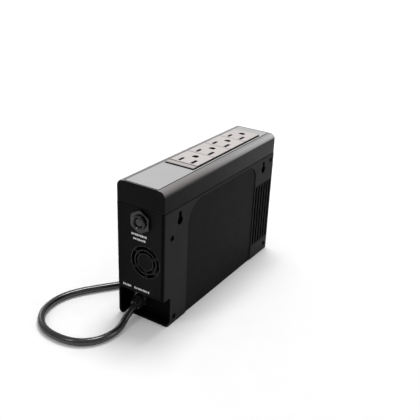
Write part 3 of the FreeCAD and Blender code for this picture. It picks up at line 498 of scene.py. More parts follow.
def middle(node: str) -> np.ndarray:
    """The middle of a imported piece's box."""
    low, high = (np.array(corner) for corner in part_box(node))
    return (low + high) / 2


def rounded_power(angle: np.ndarray, power: float) -> tuple[np.ndarray, np.ndarray]:
    """Cosine and sine raised to a power with their signs kept: 1 is a circle, near 0 a square."""
    c, s = np.cos(angle), np.sin(angle)
    return np.sign(c) * np.abs(c) ** power, np.sign(s) * np.abs(s) ** power


def pillows(centres: np.ndarray, halves: np.ndarray, thickness: float, square: float = 0.25,
            rings: int = 9, sides: int = 28, crown: float = 0.35) -> np.ndarray:
    """Thin closed pads with rounded outlines, lying in the plane of X and Z and standing out along -Y.

    The outline is cos and sin of the longitude raised to a small power, so it nears a rectangle. The
    latitude shrinks it as a power of its cosine and gives the thickness from its sine.

    Args:
        centres: one row of x, y, z for each pad.
        halves: one row of half width and half height for each pad.
        thickness: how thick each pad is.
        square: the outline's power.
        rings: latitudes.
        sides: longitudes.
        crown: the power of the latitude's cosine, near 0 for a flat top with a short edge.

    Returns:
        An array of grids.
    """
    rise, turn = np.meshgrid(np.linspace(-math.pi / 2, math.pi / 2, rings), full_turn(sides), indexing="ij")
    wide, tall = rounded_power(turn, square)
    ring = np.clip(np.cos(rise), 0.0, 1.0) ** crown
    out = np.sin(rise) * thickness / 2
    x = centres[:, 0, None, None] + halves[:, 0, None, None] * (wide * ring)[None]
    z = centres[:, 2, None, None] + halves[:, 1, None, None] * (tall * ring)[None]
    y = centres[:, 1, None, None] - out[None] + 0 * x
    return np.stack([x, y, z], axis=-1)


@dataclass(frozen=True)
class Webbing:
    """Woven strap: ribs across the piece's own UV map, in metres, with threads between them."""

    name: str
    colour: Colour
    rib: float = 0.0009
    thread: float = 0.0006
    depth: float = 0.00015
    valley: Pair = (0.2, 0.5)
    ridge: Pair = (0.8, 1.5)
    roughness: float = 0.85
    sheen: float = 0.3

    def material(self) -> bpy.types.Material:
        """Makes the finish's material, with a height and shade that follow the two waves' product.

        Returns:
            The material.
        """
        tree = Nodes(self.name)
        split = tree.add("ShaderNodeSeparateXYZ")
        tree.join(tree.add("ShaderNodeTexCoord").outputs["UV"], split.inputs["Vector"])
        ribs = self.wave(tree, split.outputs["X"], self.rib)
        threads = self.wave(tree, split.outputs["Y"], self.thread)
        height = tree.spread(tree.times(ribs, threads), 0.0, 1.0, -1.0, 1.0)
        tree.colour(tree.shades(height, self.colour, self.valley, self.ridge))
        tree.shader.inputs["Roughness"].default_value = self.roughness
        tree.shader.inputs["Sheen Weight"].default_value = self.sheen
        tree.bump(height, self.depth)
        return tree.material

    def wave(self, tree: Nodes, value: Socket, period: float) -> Socket:
        """Adds the sine of a distance.

        Args:
            tree: the material's builder.
            value: the distance in metres.
            period: the sine's period in metres.

        Returns:
            The sine.
        """
        scaled = tree.add("ShaderNodeMath", operation="MULTIPLY")
        scaled.inputs[1].default_value = 2 * math.pi / period
        tree.join(value, scaled.inputs[0])
        sine = tree.add("ShaderNodeMath", operation="SINE")
        tree.join(scaled.outputs[0], sine.inputs[0])
        return sine.outputs[0]


Finish = Plastic | Metal | Jacket | Webbing


@cache
def made(finish: Finish) -> bpy.types.Material:
    """The material of a finish, made once and then shared."""
    return finish.material()


@dataclass(frozen=True)
class Assembly:
    """A sub-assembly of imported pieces: each finish and the names of the pieces that wear it."""

    name: str
    looks: dict[Finish, str]

    def build(self) -> None:
        """Gives every piece its finish and reports it."""
        for finish, nodes in self.looks.items():
            for node in nodes.split():
                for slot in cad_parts[node].material_slots:
                    slot.material = made(finish)
                LOG.info("%s: %s in %s", self.name, node, finish.name)


@dataclass(frozen=True)
class PhotoCamera:
    """The camera, fitted to the unit's known sizes."""

    position: Point = (0.272926, -0.439338, 0.309713)
    azimuth: float = 30.817
    elevation: float = 24.953
    roll: float = 2.834
    focal_px: float = 628.73
    centre_px: Pair = (212.58, 210.61)
    image_px: int = 420
    sensor_mm: float = 36.0
    clip: Pair = (0.01, 20.0)

    def build(self) -> None:
        """Makes the camera from its turned axes.

        The axis towards the viewer comes from the azimuth and the elevation, and the level axis and the
        one square to both are turned about it by the roll.
        """
        a, e, r = (math.radians(v) for v in (self.azimuth, self.elevation, self.roll))
        back = Vector((math.sin(a) * math.cos(e), -math.cos(a) * math.cos(e), math.sin(e)))
        level = Vector((math.cos(a), math.sin(a), 0.0))
        upright = back.cross(level)
        right = math.cos(r) * level + math.sin(r) * upright
        up = -math.sin(r) * level + math.cos(r) * upright
        data = bpy.data.cameras.new("photo_camera")
        data.sensor_width = self.sensor_mm
        data.lens = self.focal_px * self.sensor_mm / self.image_px
        data.shift_x = (self.image_px / 2 - self.centre_px[0]) / self.image_px
        data.shift_y = (self.centre_px[1] - self.image_px / 2) / self.image_px
        data.clip_start, data.clip_end = self.clip
        camera = bpy.data.objects.new("photo_camera", data)
        turned = Matrix((right, up, back)).transposed().to_4x4()
        camera.matrix_world = Matrix.Translation(self.position) @ turned
        bpy.context.scene.collection.objects.link(camera)
        bpy.context.scene.camera = camera


@dataclass(frozen=True)
class SoftBox:
    """One rectangular studio lamp."""

    name: str
    position: Point
    target: Point
    size: Pair
    watts: float

    def build(self) -> None:
        """Hangs the lamp and points it at its target."""
        data = bpy.data.lights.new(self.name, "AREA")
        data.shape = "RECTANGLE"
        data.size, data.size_y = self.size
        data.energy = self.watts
        lamp = bpy.data.objects.new(self.name, data)
        way = Vector(self.target) - Vector(self.position)
        lamp.location = self.position
        lamp.rotation_euler = way.to_track_quat("-Z", "Y").to_euler()
        bpy.context.scene.collection.objects.link(lamp)


@dataclass(frozen=True)
class Studio:
    """A white paper floor, a pale surround and soft lamps."""

    floor_z: float = -0.0002
    half_width: float = 3.0
    paper_noise: float = 60.0
    paper_tones: Pair = (0.93, 0.95)
    world_strength: float = 0.4
    glow: Pair = (0.09, 0.64)
    glow_reach: Pair = (0.25, 1.5)
    lamps: tuple[SoftBox, ...] = (
        SoftBox("top_box", (-0.10, 0.32, 1.3), (0.0, 0.0, 0.05), (0.45, 0.45), 10.0),
        SoftBox("side_box", (1.2, 0.5, 0.6), (0.0, 0.0, 0.06), (0.5, 0.5), 2.0),
        SoftBox("rear_box", (-0.35, -1.0, 1.15), (0.0, -0.09, 0.05), (0.28, 0.28), 2.2),
        SoftBox("far_box", (-1.2, 0.5, 0.5), (0.0, 0.0, 0.06), (0.5, 0.5), 2.0),
    )

    def build(self) -> None:
        """Lays the floor, lights the world and hangs the lamps."""
        mesh = bpy.data.meshes.new("floor")
        h, z = self.half_width, self.floor_z
        mesh.from_pydata([(-h, -h, z), (h, -h, z), (h, h, z), (-h, h, z)], [], [(0, 1, 2, 3)])
        floor = bpy.data.objects.new("floor", mesh)
        floor.data.materials.append(self.paper())
        bpy.context.scene.collection.objects.link(floor)
        for lamp in self.lamps:
            lamp.build()
        self.surround()

    def paper(self) -> bpy.types.Material:
        """Makes white matt paper that keeps the object's shadow.

        To the camera the paper also glows, faintly at the object and more with the distance from it.

        Returns:
            The material.
        """
        tree = Nodes("white_paper")
        dark, light = ((tone, tone, tone) for tone in self.paper_tones)
        tree.colour(tree.ramp(tree.noise(self.paper_noise), [(NOISE_LOW, dark), (NOISE_HIGH, light)]))
        tree.shader.inputs["Roughness"].default_value = 1.0
        tree.shader.inputs["Specular IOR Level"].default_value = 0.0
        tree.shader.inputs["Emission Color"].default_value = WHITE
        seen = tree.add("ShaderNodeLightPath").outputs["Is Camera Ray"]
        away = tree.add("ShaderNodeVectorMath", operation="LENGTH")
        tree.join(tree.place, away.inputs[0])
        glow = tree.spread(away.outputs["Value"], *self.glow, *self.glow_reach)
        tree.join(tree.times(seen, glow), tree.shader.inputs["Emission Strength"])
        return tree.material

    def surround(self) -> None:
        """Makes a world that is white to the camera and through clear pieces, and softer as a light."""
        world = bpy.data.worlds.new("surround")
        world.use_nodes = True
        nodes, links = world.node_tree.nodes, world.node_tree.links
        nodes.clear()
        path = nodes.new("ShaderNodeLightPath")
        seen = nodes.new("ShaderNodeMath")
        seen.operation = "MAXIMUM"
        links.new(path.outputs["Is Camera Ray"], seen.inputs[0])
        links.new(path.outputs["Is Transmission Ray"], seen.inputs[1])
        mix = nodes.new("ShaderNodeMixShader")
        links.new(seen.outputs[0], mix.inputs[0])
        for socket, strength in ((1, self.world_strength), (2, 1.0)):
            background = nodes.new("ShaderNodeBackground")
            background.inputs["Strength"].default_value = strength
            background.inputs["Color"].default_value = WHITE
            links.new(background.outputs[0], mix.inputs[socket])
        output = nodes.new("ShaderNodeOutputWorld")
        links.new(mix.outputs[0], output.inputs["Surface"])
        bpy.context.scene.world = world


@dataclass(frozen=True)
class CoilStrap:
    """The woven strap once round the coil's turns, with its tail folded back on top."""

    turn_deg: float = 20.0
    reach: Pair = (0.0259, 0.0479)
    top: float = 0.01375
    foot: float = 0.00052
    thickness: float = 0.0005
    width: float = 0.009
    corner: float = 0.00215
    tail: Pair = (0.016, 0.002)
    tail_gap: float = 0.00003
    corner_steps: int = 12
    tail_steps: int = 20
    sides: int = 24
    edge_powers: Pair = (0.25, 0.5)

    def loop(self) -> tuple[np.ndarray, np.ndarray]:
        """Works out the band's middle line, a rectangle with round corners.

        Each corner is a quarter circle whose centre lies one radius inside both sides, and the sides are
        the straight lines between the quarters.

        Returns:
            The line's points, as radius from the coil's middle and height, and its outward normals.
        """
        half = self.thickness / 2
        (r0, r1), r = self.reach, self.corner
        quarter = np.linspace(0.0, math.pi / 2, self.corner_steps)
        angle = np.concatenate([quarter + k * math.pi / 2 for k in range(4)])
        outer, inner = r1 + half - r, r0 - half + r
        upper, lower = self.top + half - r, self.foot - half + r
        cx = np.repeat([outer, inner, inner, outer], self.corner_steps)
        cz = np.repeat([upper, upper, lower, lower], self.corner_steps)
        normal = np.column_stack([np.cos(angle), np.sin(angle)])
        return np.column_stack([cx, cz]) + r * normal, normal

    def place(self, along: np.ndarray, across: np.ndarray, height: np.ndarray) -> np.ndarray:
        """Puts the strap on the coil, its first direction turned about the coil's middle.

        Args:
            along: distances along the coil's radius.
            across: distances across the band.
            height: heights above the floor.

        Returns:
            The points.
        """
        c, s = math.cos(math.radians(self.turn_deg)), math.sin(math.radians(self.turn_deg))
        x = COIL_CENTRE[0] + along * c - across * s
        y = COIL_CENTRE[1] + along * s + across * c
        return np.stack([x, y, height], axis=-1)

    def build(self, finish: bpy.types.Material) -> list[bpy.types.Object]:
        """Makes the band and its tail.

        The section across the band is cos and sin raised to a power, flat with round edges. It is carried
        along the middle line for the band, and along a straight line on top of it for the tail.

        Args:
            finish: the webbing's material.

        Returns:
            The two pieces.
        """
        line, normal = self.loop()
        edge = full_turn(self.sides)
        across = self.width / 2 * rounded_power(edge, self.edge_powers[0])[0]
        out = self.thickness / 2 * rounded_power(edge, self.edge_powers[1])[1]
        along = line[:, :1] + normal[:, :1] * out
        height = line[:, 1:] + normal[:, 1:] * out
        grid = self.place(along, np.broadcast_to(across, along.shape), height)
        length = 2 * (self.reach[1] - self.reach[0] + self.top)
        band = skin("coil_strap", grid[:, ::-1], finish, True, True, (length, 2 * self.width))
        start, end = (self.reach[1] - way for way in self.tail)
        tail_line = np.linspace(start, end, self.tail_steps)[:, None]
        lift = self.top + 1.5 * self.thickness + self.tail_gap + out
        tail_grid = self.place(*np.broadcast_arrays(tail_line, across, lift))
        tail = skin("coil_strap_tail", tail_grid, finish, False, True, (self.tail[0], 2 * self.width))
        for piece in (band, tail):
            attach(piece, Body.HOUSING.value)
        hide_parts("cord_tie")
        return [band, tail]


@dataclass(frozen=True)
class SupplyCord:
    """The captive cord: out of its boot, once round behind the unit, and put away in a coil."""

    diameter: float = 0.0062
    length: float = 1.5
    gland: Point = (-0.008, -0.0792, 0.014)
    drop_deg: float = 19.0
    boot: float = 0.0095
    first_run: float = 0.0125
    last_run: float = 0.020
    floor: float = 0.00315
    coil_floor: float = 0.00375
    route: tuple[Pair, ...] = (
        (-0.0050, -0.1100), (-0.0040, -0.1235), (-0.0090, -0.1375), (-0.0210, -0.1475),
        (-0.0380, -0.1505), (-0.0560, -0.1480), (-0.0700, -0.1360), (-0.0760, -0.1205),
        (-0.0750, -0.1035), (-0.0675, -0.0880), (-0.0576, -0.0742), (-0.0470, -0.0606),
        (-0.0385, -0.0445), (-0.0345, -0.0270), (-0.0339, -0.0090), (-0.0348, 0.0093),
    )
    coil_radius: float = 0.0445
    pitch: float = 0.00675
    layer_turns: float = 2.375
    start_run: float = 0.0062
    run_out: float = 0.014
    points_per_turn: int = 18
    spline_order: int = 3
    spline_steps: int = 4
    round_steps: int = 4

    def coil(self) -> np.ndarray:
        """Points of the coil: in along the floor, up a layer over half a turn, and out again.

        The radius shrinks by one pitch a turn, dips by pitch/2pi times the sine of the climb while the
        height rises as half of 1 - cos, and grows by one pitch a turn on the upper layer.

        Returns:
            An array of points, one per row.
        """
        full = 2 * math.pi
        whole = (2 * self.layer_turns + 0.5) * full
        steps = int(round(whole / full * self.points_per_turn))
        angle = np.linspace(0.0, whole, steps + 1)
        in_end = self.layer_turns * full
        climb = np.clip(angle - in_end, 0.0, math.pi)
        inward = np.minimum(angle, in_end)
        outward = np.maximum(angle - in_end - math.pi, 0.0)
        radius = self.coil_radius - self.pitch * (inward - outward + np.sin(climb)) / full
        x = COIL_CENTRE[0] + radius * np.cos(angle)
        y = COIL_CENTRE[1] + radius * np.sin(angle)
        z = self.coil_floor + self.pitch * (1 - np.cos(climb)) / 2
        return np.column_stack([x, y, z])

    def points(self) -> np.ndarray:
        """Works out the whole cord, from the boot's tip to the plug.

        Out of the boot it goes on straight and down to the floor, along the listed route, straight into
        the coil's first turn at its slope, round the coil, and straight out to the plug.

        Returns:
            Control points, one per row.
        """
        drop = math.radians(self.drop_deg)
        way = np.array([0.0, -math.cos(drop), -math.sin(drop)])
        tip = np.array(self.gland) + way * self.boot
        laid = np.array([(x, y, self.floor) for x, y in self.route])
        coil = self.coil()
        slope = -self.pitch / (2 * math.pi)
        entry = np.array([slope, self.coil_radius, 0.0])
        entry /= np.linalg.norm(entry)
        start = coil[0] - entry * self.start_run
        lead = start - entry * self.last_run
        end = coil[-1] + np.array([-self.run_out, 0.0, 0.0])
        return np.vstack([tip, tip + way * self.first_run, laid, lead, start, coil, end])

    def exit(self) -> Point:
        """The point where the cord leaves its boot."""
        return tuple(self.points()[0])

    def build(self, finish: bpy.types.Material, tied: list[bpy.types.Object]) -> bpy.types.Object:
        """Draws the cord as one smooth spline with a round section.

        Args:
            finish: the jacket's material.
            tied: the strap's pieces; not used.

        Returns:
            The cord's curve object.
        """
        curve = bpy.data.curves.new("supply_cord", "CURVE")
        curve.dimensions = "3D"
        curve.bevel_depth = self.diameter / 2
        curve.bevel_resolution = self.round_steps
        curve.use_fill_caps = True
        points = self.points()
        spline = curve.splines.new("NURBS")
        spline.points.add(len(points) - 1)
        spline.points.foreach_set("co", np.column_stack([points, np.ones(len(points))]).ravel())
        spline.order_u = self.spline_order
        spline.use_endpoint_u = True
        spline.resolution_u = self.spline_steps
        curve.materials.append(finish)
        cord = bpy.data.objects.new("supply_cord", curve)
        bpy.context.scene.collection.objects.link(cord)
        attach(cord, Body.HOUSING.value)
        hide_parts("power_cord", "cord_coil")
        self.exit()
        return cord


@dataclass(frozen=True)
class RearMarks:
    """Printed marks on the rear end: rows of plain bars under the breaker and over the cord, no lettering.

    A row is its first and last x, its height on the wall, the bars' height and their number.
    """

    film: float = 0.00005
    fill: float = 0.31
    fill_swing: float = 0.05
    swing_step: float = 2.4
    tall: float = 0.5
    short: float = 0.38
    corner: float = 0.3
    rows: tuple[tuple[float, float, float, float, int], ...] = (
        (-0.0090, 0.0065, 0.0805, 0.0020, 9),
        (-0.0071, 0.0054, 0.0766, 0.0018, 7),
        (-0.0182, -0.0092, 0.0309, 0.0020, 5),
        (-0.0065, 0.0092, 0.0309, 0.0020, 9),
    )

    def build(self, finish: bpy.types.Material) -> bpy.types.Object:
        """Prints every row as bars of slightly different sizes.

        Each row is cut into equal steps. A bar's half width is a share of its step that swings with a
        sine, and every third bar is shorter.

        Args:
            finish: the print's material.

        Returns:
            The marks as one piece.
        """
        centres, halves = [], []
        for x0, x1, z, height, count in self.rows:
            step = (x1 - x0) / count
            index = np.arange(count)
            face = np.full(count, REAR_Y - self.film / 4)
            centres.append(np.column_stack([x0 + step * (index + 0.5), face, np.full(count, z)]))
            half_width = step * (self.fill + self.fill_swing * np.sin(self.swing_step * index))
            half_height = height * np.where(index % 3 == 1, self.short, self.tall)
            halves.append(np.column_stack([half_width, half_height]))
        grids = pillows(np.vstack(centres), np.vstack(halves), self.film, self.corner)
        marks = skin("rear_marks", grids, finish, False, True)
        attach(marks, Body.HOUSING.value)
        return marks


@dataclass(frozen=True)
class GrilleBeads:
    """Fine raised beads round the fan grille's broken rings."""

    rings: tuple[float, ...] = (0.00752, 0.0105, 0.01418)
    bead: float = 0.00028
    steps: int = 120
    sides: int = 12

    def build(self, finish: bpy.types.Material) -> bpy.types.Object:
        """Makes the beads, rings of a round section half sunk in the rear wall.

        A point is the ring's radius plus the bead's radius times the cosine of the turn, out from the
        grille's middle, and the bead's radius times its sine in front of the wall.

        Args:
            finish: the housing's glossy plastic.

        Returns:
            The beads as one piece.
        """
        middle_x, _, middle_z = middle("fan_frame")
        around = full_turn(self.steps)[None, :, None]
        turn = full_turn(self.sides)[None, None, :]
        radius = np.array(self.rings)[:, None, None] + self.bead * np.cos(turn)
        x = middle_x + radius * np.cos(around)
        z = middle_z + radius * np.sin(around)
        y = REAR_Y - self.bead * np.sin(turn) + 0 * x
        beads = skin("grille_beads", np.stack([x, y, z], axis=-1), finish, True, True)
        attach(beads, Body.HOUSING.value)
        return beads


@dataclass(frozen=True)
class PowerSymbol:
    """The open ring and bar of the standard power symbol, printed in the button's dish."""

    ring: float = 0.0022
    line: float = 0.0005
    film: float = 0.00005
    gap_deg: float = 34.0
    dish_radius: float = 0.022
    dish_centre: float = 0.1123
    bar: Pair = (0.0006, 0.0031)
    ring_steps: int = 64
    bar_steps: int = 24
    sides: int = 16
    end_power: int = 14

    def lay(self, x: np.ndarray, z: np.ndarray, lift: np.ndarray) -> np.ndarray:
        """Lays points on the dish, a sphere about a centre in front of the button.

        Args:
            x: distances from the button's middle along X.
            z: distances from it along Z.
            lift: distances off the dish.

        Returns:
            The points.
        """
        middle_x, _, middle_z = middle("power_button")
        y = self.dish_centre - np.sqrt(self.dish_radius**2 - x**2 - z**2)
        return np.stack([middle_x + x, y + lift, middle_z + z], axis=-1)

    def stroke(self, path_x: np.ndarray, path_z: np.ndarray) -> np.ndarray:
        """Draws a thin flat stroke along a path.

        The section is an ellipse as wide as the line, and its size falls to nothing at both ends as the
        square root of one less a high power of t, where t runs from -1 to 1 along the path.

        Args:
            path_x: the path's distances from the button's middle along X.
            path_z: its distances along Z.

        Returns:
            The stroke's grid.
        """
        t = np.linspace(-1.0, 1.0, len(path_x))
        size = np.sqrt(np.clip(1 - np.abs(t) ** self.end_power, 0.0, 1.0))[:, None]
        way_x, way_z = np.gradient(path_x), np.gradient(path_z)
        length = np.hypot(way_x, way_z)
        turn = full_turn(self.sides)[None]
        side = self.line / 2 * np.cos(turn) * size
        x = path_x[:, None] - (way_z / length)[:, None] * side
        z = path_z[:, None] + (way_x / length)[:, None] * side
        return self.lay(x, z, self.film / 2 * np.sin(turn) * size + self.film / 4)

    def build(self, finish: bpy.types.Material) -> list[bpy.types.Object]:
        """Prints the ring and the bar.

        Args:
            finish: the print's material.

        Returns:
            The two pieces.
        """
        angle = np.radians(np.linspace(90 + self.gap_deg, 450 - self.gap_deg, self.ring_steps))
        arc = self.stroke(self.ring * np.cos(angle), self.ring * np.sin(angle))
        rise = np.linspace(*self.bar, self.bar_steps)
        bar = self.stroke(np.zeros(self.bar_steps), rise)
        pieces = [skin("power_symbol_ring", arc, finish, False, True),
                  skin("power_symbol_bar", bar, finish, False, True)]
        for piece in pieces:
            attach(piece, Body.POWER.value)
        return pieces


@dataclass(frozen=True)
class FanLabel:
    """A bare round paper label on the fan's hub."""

    radius: float = 0.0048
    thickness: float = 0.0001
    hub_y: float = -0.0882
    rings: int = 7
    sides: int = 48

    def build(self, finish: bpy.types.Material) -> bpy.types.Object:
        """Makes the label.

        Args:
            finish: its material.

        Returns:
            The label.
        """
        middle_x, _, middle_z = middle("fan_frame")
        centre = np.array([[middle_x, self.hub_y, middle_z]])
        grid = pillows(centre, np.full((1, 2), self.radius), self.thickness, 1.0, self.rings, self.sides)
        label = skin("fan_label", grid, finish, False, True)
        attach(label, Body.FAN.value)
        return label


@dataclass(frozen=True)
class ChokeWinding:
    """Enamelled wire wound round the filter choke's ring core, open towards its foot."""

    turns: int = 17
    wire: float = 0.00035
    core: Pair = (0.0034, 0.0092)
    faces: Pair = (-0.0154, -0.0084)
    open_deg: float = 80.0
    clearance: float = 0.0001
    square: float = 0.45
    steps: int = 680
    sides: int = 8

    def build(self, finish: bpy.types.Material) -> bpy.types.Object:
        """Winds the wire.

        While the angle round the core runs once over its covered arc, the wire goes many times round the
        core's section, a rounded rectangle given by cos and sin raised to a power. A circle of the wire's
        radius is carried along that line.

        Args:
            finish: the enamel's material.

        Returns:
            The winding.
        """
        _, centre_y, centre_z = middle("filter_choke")
        first_deg, last_deg = -90 + self.open_deg / 2, 270 - self.open_deg / 2
        about = np.radians(np.linspace(first_deg, last_deg, self.steps))
        round_section = np.linspace(0.0, 2 * math.pi * self.turns, self.steps)
        wide, tall = rounded_power(round_section, self.square)
        grow = self.wire + self.clearance
        radius = (self.core[0] + self.core[1]) / 2 + ((self.core[1] - self.core[0]) / 2 + grow) * wide
        x = (self.faces[0] + self.faces[1]) / 2 + ((self.faces[1] - self.faces[0]) / 2 + grow) * tall
        line = np.column_stack([x, centre_y + radius * np.cos(about), centre_z + radius * np.sin(about)])
        way = np.gradient(line, axis=0)
        way /= np.linalg.norm(way, axis=1)[:, None]
        around = np.column_stack([np.zeros(self.steps), -np.sin(about), np.cos(about)])
        first = np.cross(way, around)
        first /= np.linalg.norm(first, axis=1)[:, None]
        second = np.cross(way, first)
        turn = full_turn(self.sides)[None, :, None]
        taper = np.ones(self.steps)
        taper[[0, -1]] = 0.0
        section = first[:, None] * np.cos(turn) + second[:, None] * np.sin(turn)
        grid = line[:, None] + self.wire * taper[:, None, None] * section
        winding = skin("choke_winding", grid, finish, False, True)
        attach(winding, Body.HOUSING.value)
        return winding


# Painted shade and painted reflection on the shells, laid on as darker and lighter regions. The limits that
# don't matter lie well past the unit.
SHADE = (0.002, 0.002, 0.002)
# The black of dark mouldings, also used for painted shade in grooves
DEEP = (0.004, 0.004, 0.004)
# Painted shade at the mouths of grooves
GROOVE_MOUTH_SHADE = (0.006, 0.006, 0.006)
# Painted shade on the inner faces of the shell's walls
INSIDE_SHADE = Region(
    (("X", -0.02225, 0.03, 0.0004), ("Y", -0.08975, 0.08975, 0.0004), ("Z", 0.00125, 0.10355, 0.0004)),
    SHADE,
)
# Painted shade over the side cover's vent slots and the ribs between them
VENT_FIELD_SHADE = Region((("Y", 0.0562, 0.0885, 0.001), ("Z", 0.0148, 0.0788, 0.001)), (0.0035, 0.0035, 0.0036))
# Painted shade along the joint between the shell and the side cover at the rear corner
PARTING_SHADE = Region((("X", 0.0203, 0.03, 0.0004), ("Y", -FAR, -0.0895, 0.0002)), SHADE)
REAR_SHADE = Region((("X", -FAR, -0.004, 0.032), ("Y", -FAR, -0.0906, 0.0002)), (0.0014, 0.0014, 0.0015))
# The -X side of the shell, lighter than its painted-shade rear end
FAR_SIDE = Region((("X", -FAR, -0.0232, 0.0003), ("Y", -0.0905, 0.0905, 0.0005)), (0.013, 0.013, 0.0135))
# Painted shade on the cap's sides towards the rear and painted reflection on them towards the front
CAP_REAR_SIDE_SHADE = Region((("Y", -FAR, 0.0, 0.14), ("Z", 0.1, 0.1181, 0.0008)), (0.0045, 0.0045, 0.0046))
CAP_FRONT_SIDE_REFLECTION = Region((("Y", 0.03, FAR, 0.10), ("Z", 0.1, 0.1184, 0.0012)), (0.036, 0.036, 0.037))
# Painted highlight on the cap's rounded shoulders towards the front
CAP_FRONT_HIGHLIGHT = Region((("Y", 0.04, FAR, 0.16), ("Z", 0.1198, 0.1232, 0.0014)), (0.55, 0.55, 0.56))
# Painted shade in the groove and window round the inlay and outlets
CAP_GROOVE_SHADE = Region((("X", -0.0168, 0.0168, 0.0001), ("Z", 0.11, 0.12337, 0.00003)), DEEP)
# Painted shade on the cap's end faces, dark like the shell's rear end and without the painted reflection of
# the height tones
CAP_ENDS = tuple(
    Region((("Y", low, high, 0.0004), ("Z", 0.1, 0.1231, 0.0004)), (0.0045, 0.0045, 0.0048))
    for low, high in ((-0.1, -0.09045), (0.09045, 0.1))
)

# The side cover's tones run from its inner face over the sunk panel to the outer face. Its inner face and
# all that lies as deep, such as the walls of its screw cups, are painted shade
COVER_TONES = Tones("X", (
    (0.0220, SHADE),
    (0.02262, SHADE),
    (0.02272, (0.0088, 0.0088, 0.0092)),
    (0.02335, (0.0088, 0.0088, 0.0092)),
    (0.02345, (0.025, 0.025, 0.026)),
    (0.0236, (0.025, 0.025, 0.026)),
))
# The cap's light flat top fades over the rounded shoulders to the dark sides, a painted reflection of the
# overhead light
CAP_REFLECTION_TONES = Tones("Z", (
    (0.1048, (0.012, 0.012, 0.0125)),
    (0.1166, (0.018, 0.018, 0.018)),
    (0.1182, (0.022, 0.022, 0.022)),
    (0.1193, (0.06, 0.058, 0.057)),
    (0.1206, (0.17, 0.16, 0.158)),
    (0.1220, (0.24, 0.225, 0.22)),
    (0.1231, (0.27, 0.26, 0.255)),
    (0.12335, (0.27, 0.265, 0.265)),
))


def face_tones(heights: Sequence[float], edge: Colour, top: Colour) -> Tones:
    """Tones of a light face over painted shade in its grooves and on its side walls.

    Args:
        heights: the groove's floor and its mouth, the start of the face's edge and the height past it.
        edge: the colour of the face's edge.
        top: the colour past it.

    Returns:
        The tones.
    """
    return Tones("Z", tuple(zip(heights, (DEEP, GROOVE_MOUTH_SHADE, edge, top))))


# Painted shade in the groove round the inlay, on the side walls of the outlet faces and end strip, and in
# the outlets' slot mouths
INLAY_TONES = face_tones((0.1224, 0.12346, 0.12352, 0.1236), (0.49, 0.487, 0.49), (0.49, 0.487, 0.49))
OUTLET_TONES = face_tones((0.1232, 0.12472, 0.12494, 0.1251), (0.61, 0.57, 0.565), (0.61, 0.57, 0.565))
STRIP_TONES = face_tones((0.1232, 0.12440, 0.12462, 0.1248), (0.46, 0.43, 0.425), (0.50, 0.47, 0.465))

# The shell's base colour is painted shade: its rear end is kept darker than the side cover's face of the
# same plastic
HOUSING = Plastic("black_housing", (0.0068, 0.0068, 0.0071), mottle=0.1, specular=0.05,
                  regions=(REAR_SHADE, FAR_SIDE, PARTING_SHADE, INSIDE_SHADE))
COVER = Plastic("side_cover_black", COVER_TONES, 0.45, specular=0.025, regions=(VENT_FIELD_SHADE,))
CAP = Plastic("cap_shoulders", CAP_REFLECTION_TONES, 0.34, mottle=0.08, specular=0.05,
              regions=(CAP_REAR_SIDE_SHADE, CAP_FRONT_SIDE_REFLECTION, CAP_FRONT_HIGHLIGHT, CAP_GROOVE_SHADE, *CAP_ENDS))
INLAY = Plastic("inlay_silver", INLAY_TONES, 0.38, mottle=0.05)
OUTLET = Plastic("outlet_faces", OUTLET_TONES, 0.4, mottle=0.05)
STRIP = Plastic("outlet_end_strip", STRIP_TONES, 0.4, mottle=0.05)
WELL = Plastic("outlet_well", DEEP, 0.5, specular=0.1)
GLOSS = Plastic("gloss_black", DEEP, 0.15, specular=0.5, grain_depth=0.000005)
PRINT = Plastic("white_print", (0.80, 0.80, 0.80), 0.5, mottle=0.08)
LABEL = Plastic("paper_label", (0.62, 0.62, 0.58), 0.7)
ENAMEL = Plastic("wire_enamel", (0.42, 0.12, 0.03), 0.25, specular=0.6)
DARK = Plastic("dark_moulding", (0.009, 0.009, 0.0095), 0.35)
CORD = Jacket("cord_jacket", (0.012, 0.012, 0.013))
WEBBING = Webbing("strap_webbing", (0.03, 0.03, 0.032))
BRASS = Metal("brass", (0.75, 0.58, 0.28))
NICKEL = Metal("nickel", (0.70, 0.69, 0.66))
SCREW = Metal("blackened_screws", (0.012, 0.012, 0.012), 0.45)
STEEL = Metal("screw_steel", (0.10, 0.10, 0.105), 0.35)
IRON = Plastic("ferrite", (0.05, 0.05, 0.055), 0.6)
BOARD = Plastic("board_mask", (0.02, 0.16, 0.07), 0.35)
SHEET = Plastic("insulating_sheet", (0.7, 0.7, 0.66), 0.5, mottle=0.05)
SLEEVE = Plastic("cell_sleeve", (0.018, 0.04, 0.09), 0.35)
TAPE = Plastic("winding_tape", (0.75, 0.5, 0.06), 0.3)
CAN = Plastic("capacitor_sleeve", (0.03, 0.03, 0.06), 0.25)
SINK = Metal("heat_sink", (0.62, 0.62, 0.64), 0.4)
LENS = Plastic("lamp_lens", (0.55, 0.8, 0.5), 0.15)
RUBBER = Plastic("rubber", (0.015, 0.015, 0.015), 0.75)

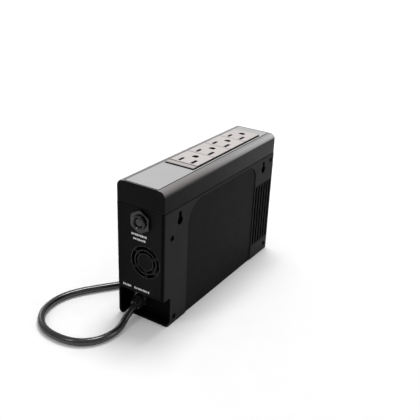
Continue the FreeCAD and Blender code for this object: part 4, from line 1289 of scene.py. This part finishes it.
ASSEMBLIES = (
    Assembly("supply lead", {CORD: "strain_relief plug_body", BRASS: "plug_blades"}),
    Assembly("shells", {
        HOUSING: "main_shell",
        COVER: "side_cover",
        CAP: "top_cap",
        INLAY: "top_inlay",
        SCREW: "cover_screws",
        RUBBER: "base_pads",
    }),
    Assembly("outlet row", {
        WELL: "outlet_housing outlet_back_cover",
        OUTLET: "outlet_face_1 outlet_face_2 outlet_face_3 outlet_face_4",
        STRIP: "outlet_end_strip",
        BRASS: "line_bus_bar neutral_bus_bar ground_bus_bar",
    }),
    Assembly("breaker", {GLOSS: "breaker_body breaker_nut breaker_button", BRASS: "breaker_terminals"}),
    Assembly("fan", {DARK: "fan_frame fan_rotor", IRON: "fan_stator", SCREW: "fan_screws"}),
    Assembly("front end", {
        DARK: "power_button push_switch",
        LENS: "led_lens status_led",
        BOARD: "switch_board",
    }),
    Assembly("battery", {
        SLEEVE: "battery_cells",
        DARK: "cell_holder_lower cell_holder_upper",
        NICKEL: "cell_links_top cell_links_bottom",
        BOARD: "battery_board",
        SHEET: "insulating_sheet",
    }),
    Assembly("electronics", {
        BOARD: "main_board",
        STEEL: "board_standoffs",
        IRON: "transformer_core filter_choke",
        TAPE: "transformer_winding",
        CAN: "capacitors",
        DARK: "relays power_transistors",
        SINK: "heat_sink",
        RUBBER: "line_wire neutral_wire ground_wire",
    }),
)


def main() -> None:
    """Builds the studio and every piece in order, and reports each piece."""
    logging.basicConfig(level=logging.INFO, format="%(message)s")
    bpy.context.scene.view_settings.view_transform = "Standard"
    PhotoCamera().build()
    Studio().build()
    strap = CoilStrap().build(made(WEBBING))
    pieces = [
        *strap,
        SupplyCord().build(made(CORD), strap),
        GrilleBeads().build(made(GLOSS)),
        RearMarks().build(made(PRINT)),
        *PowerSymbol().build(made(PRINT)),
        FanLabel().build(made(LABEL)),
        ChokeWinding().build(made(ENAMEL)),
    ]
    for piece in pieces:
        LOG.info("%s made", piece.name)
    for assembly in ASSEMBLIES:
        assembly.build()


if __name__ == "__main__":
    main()
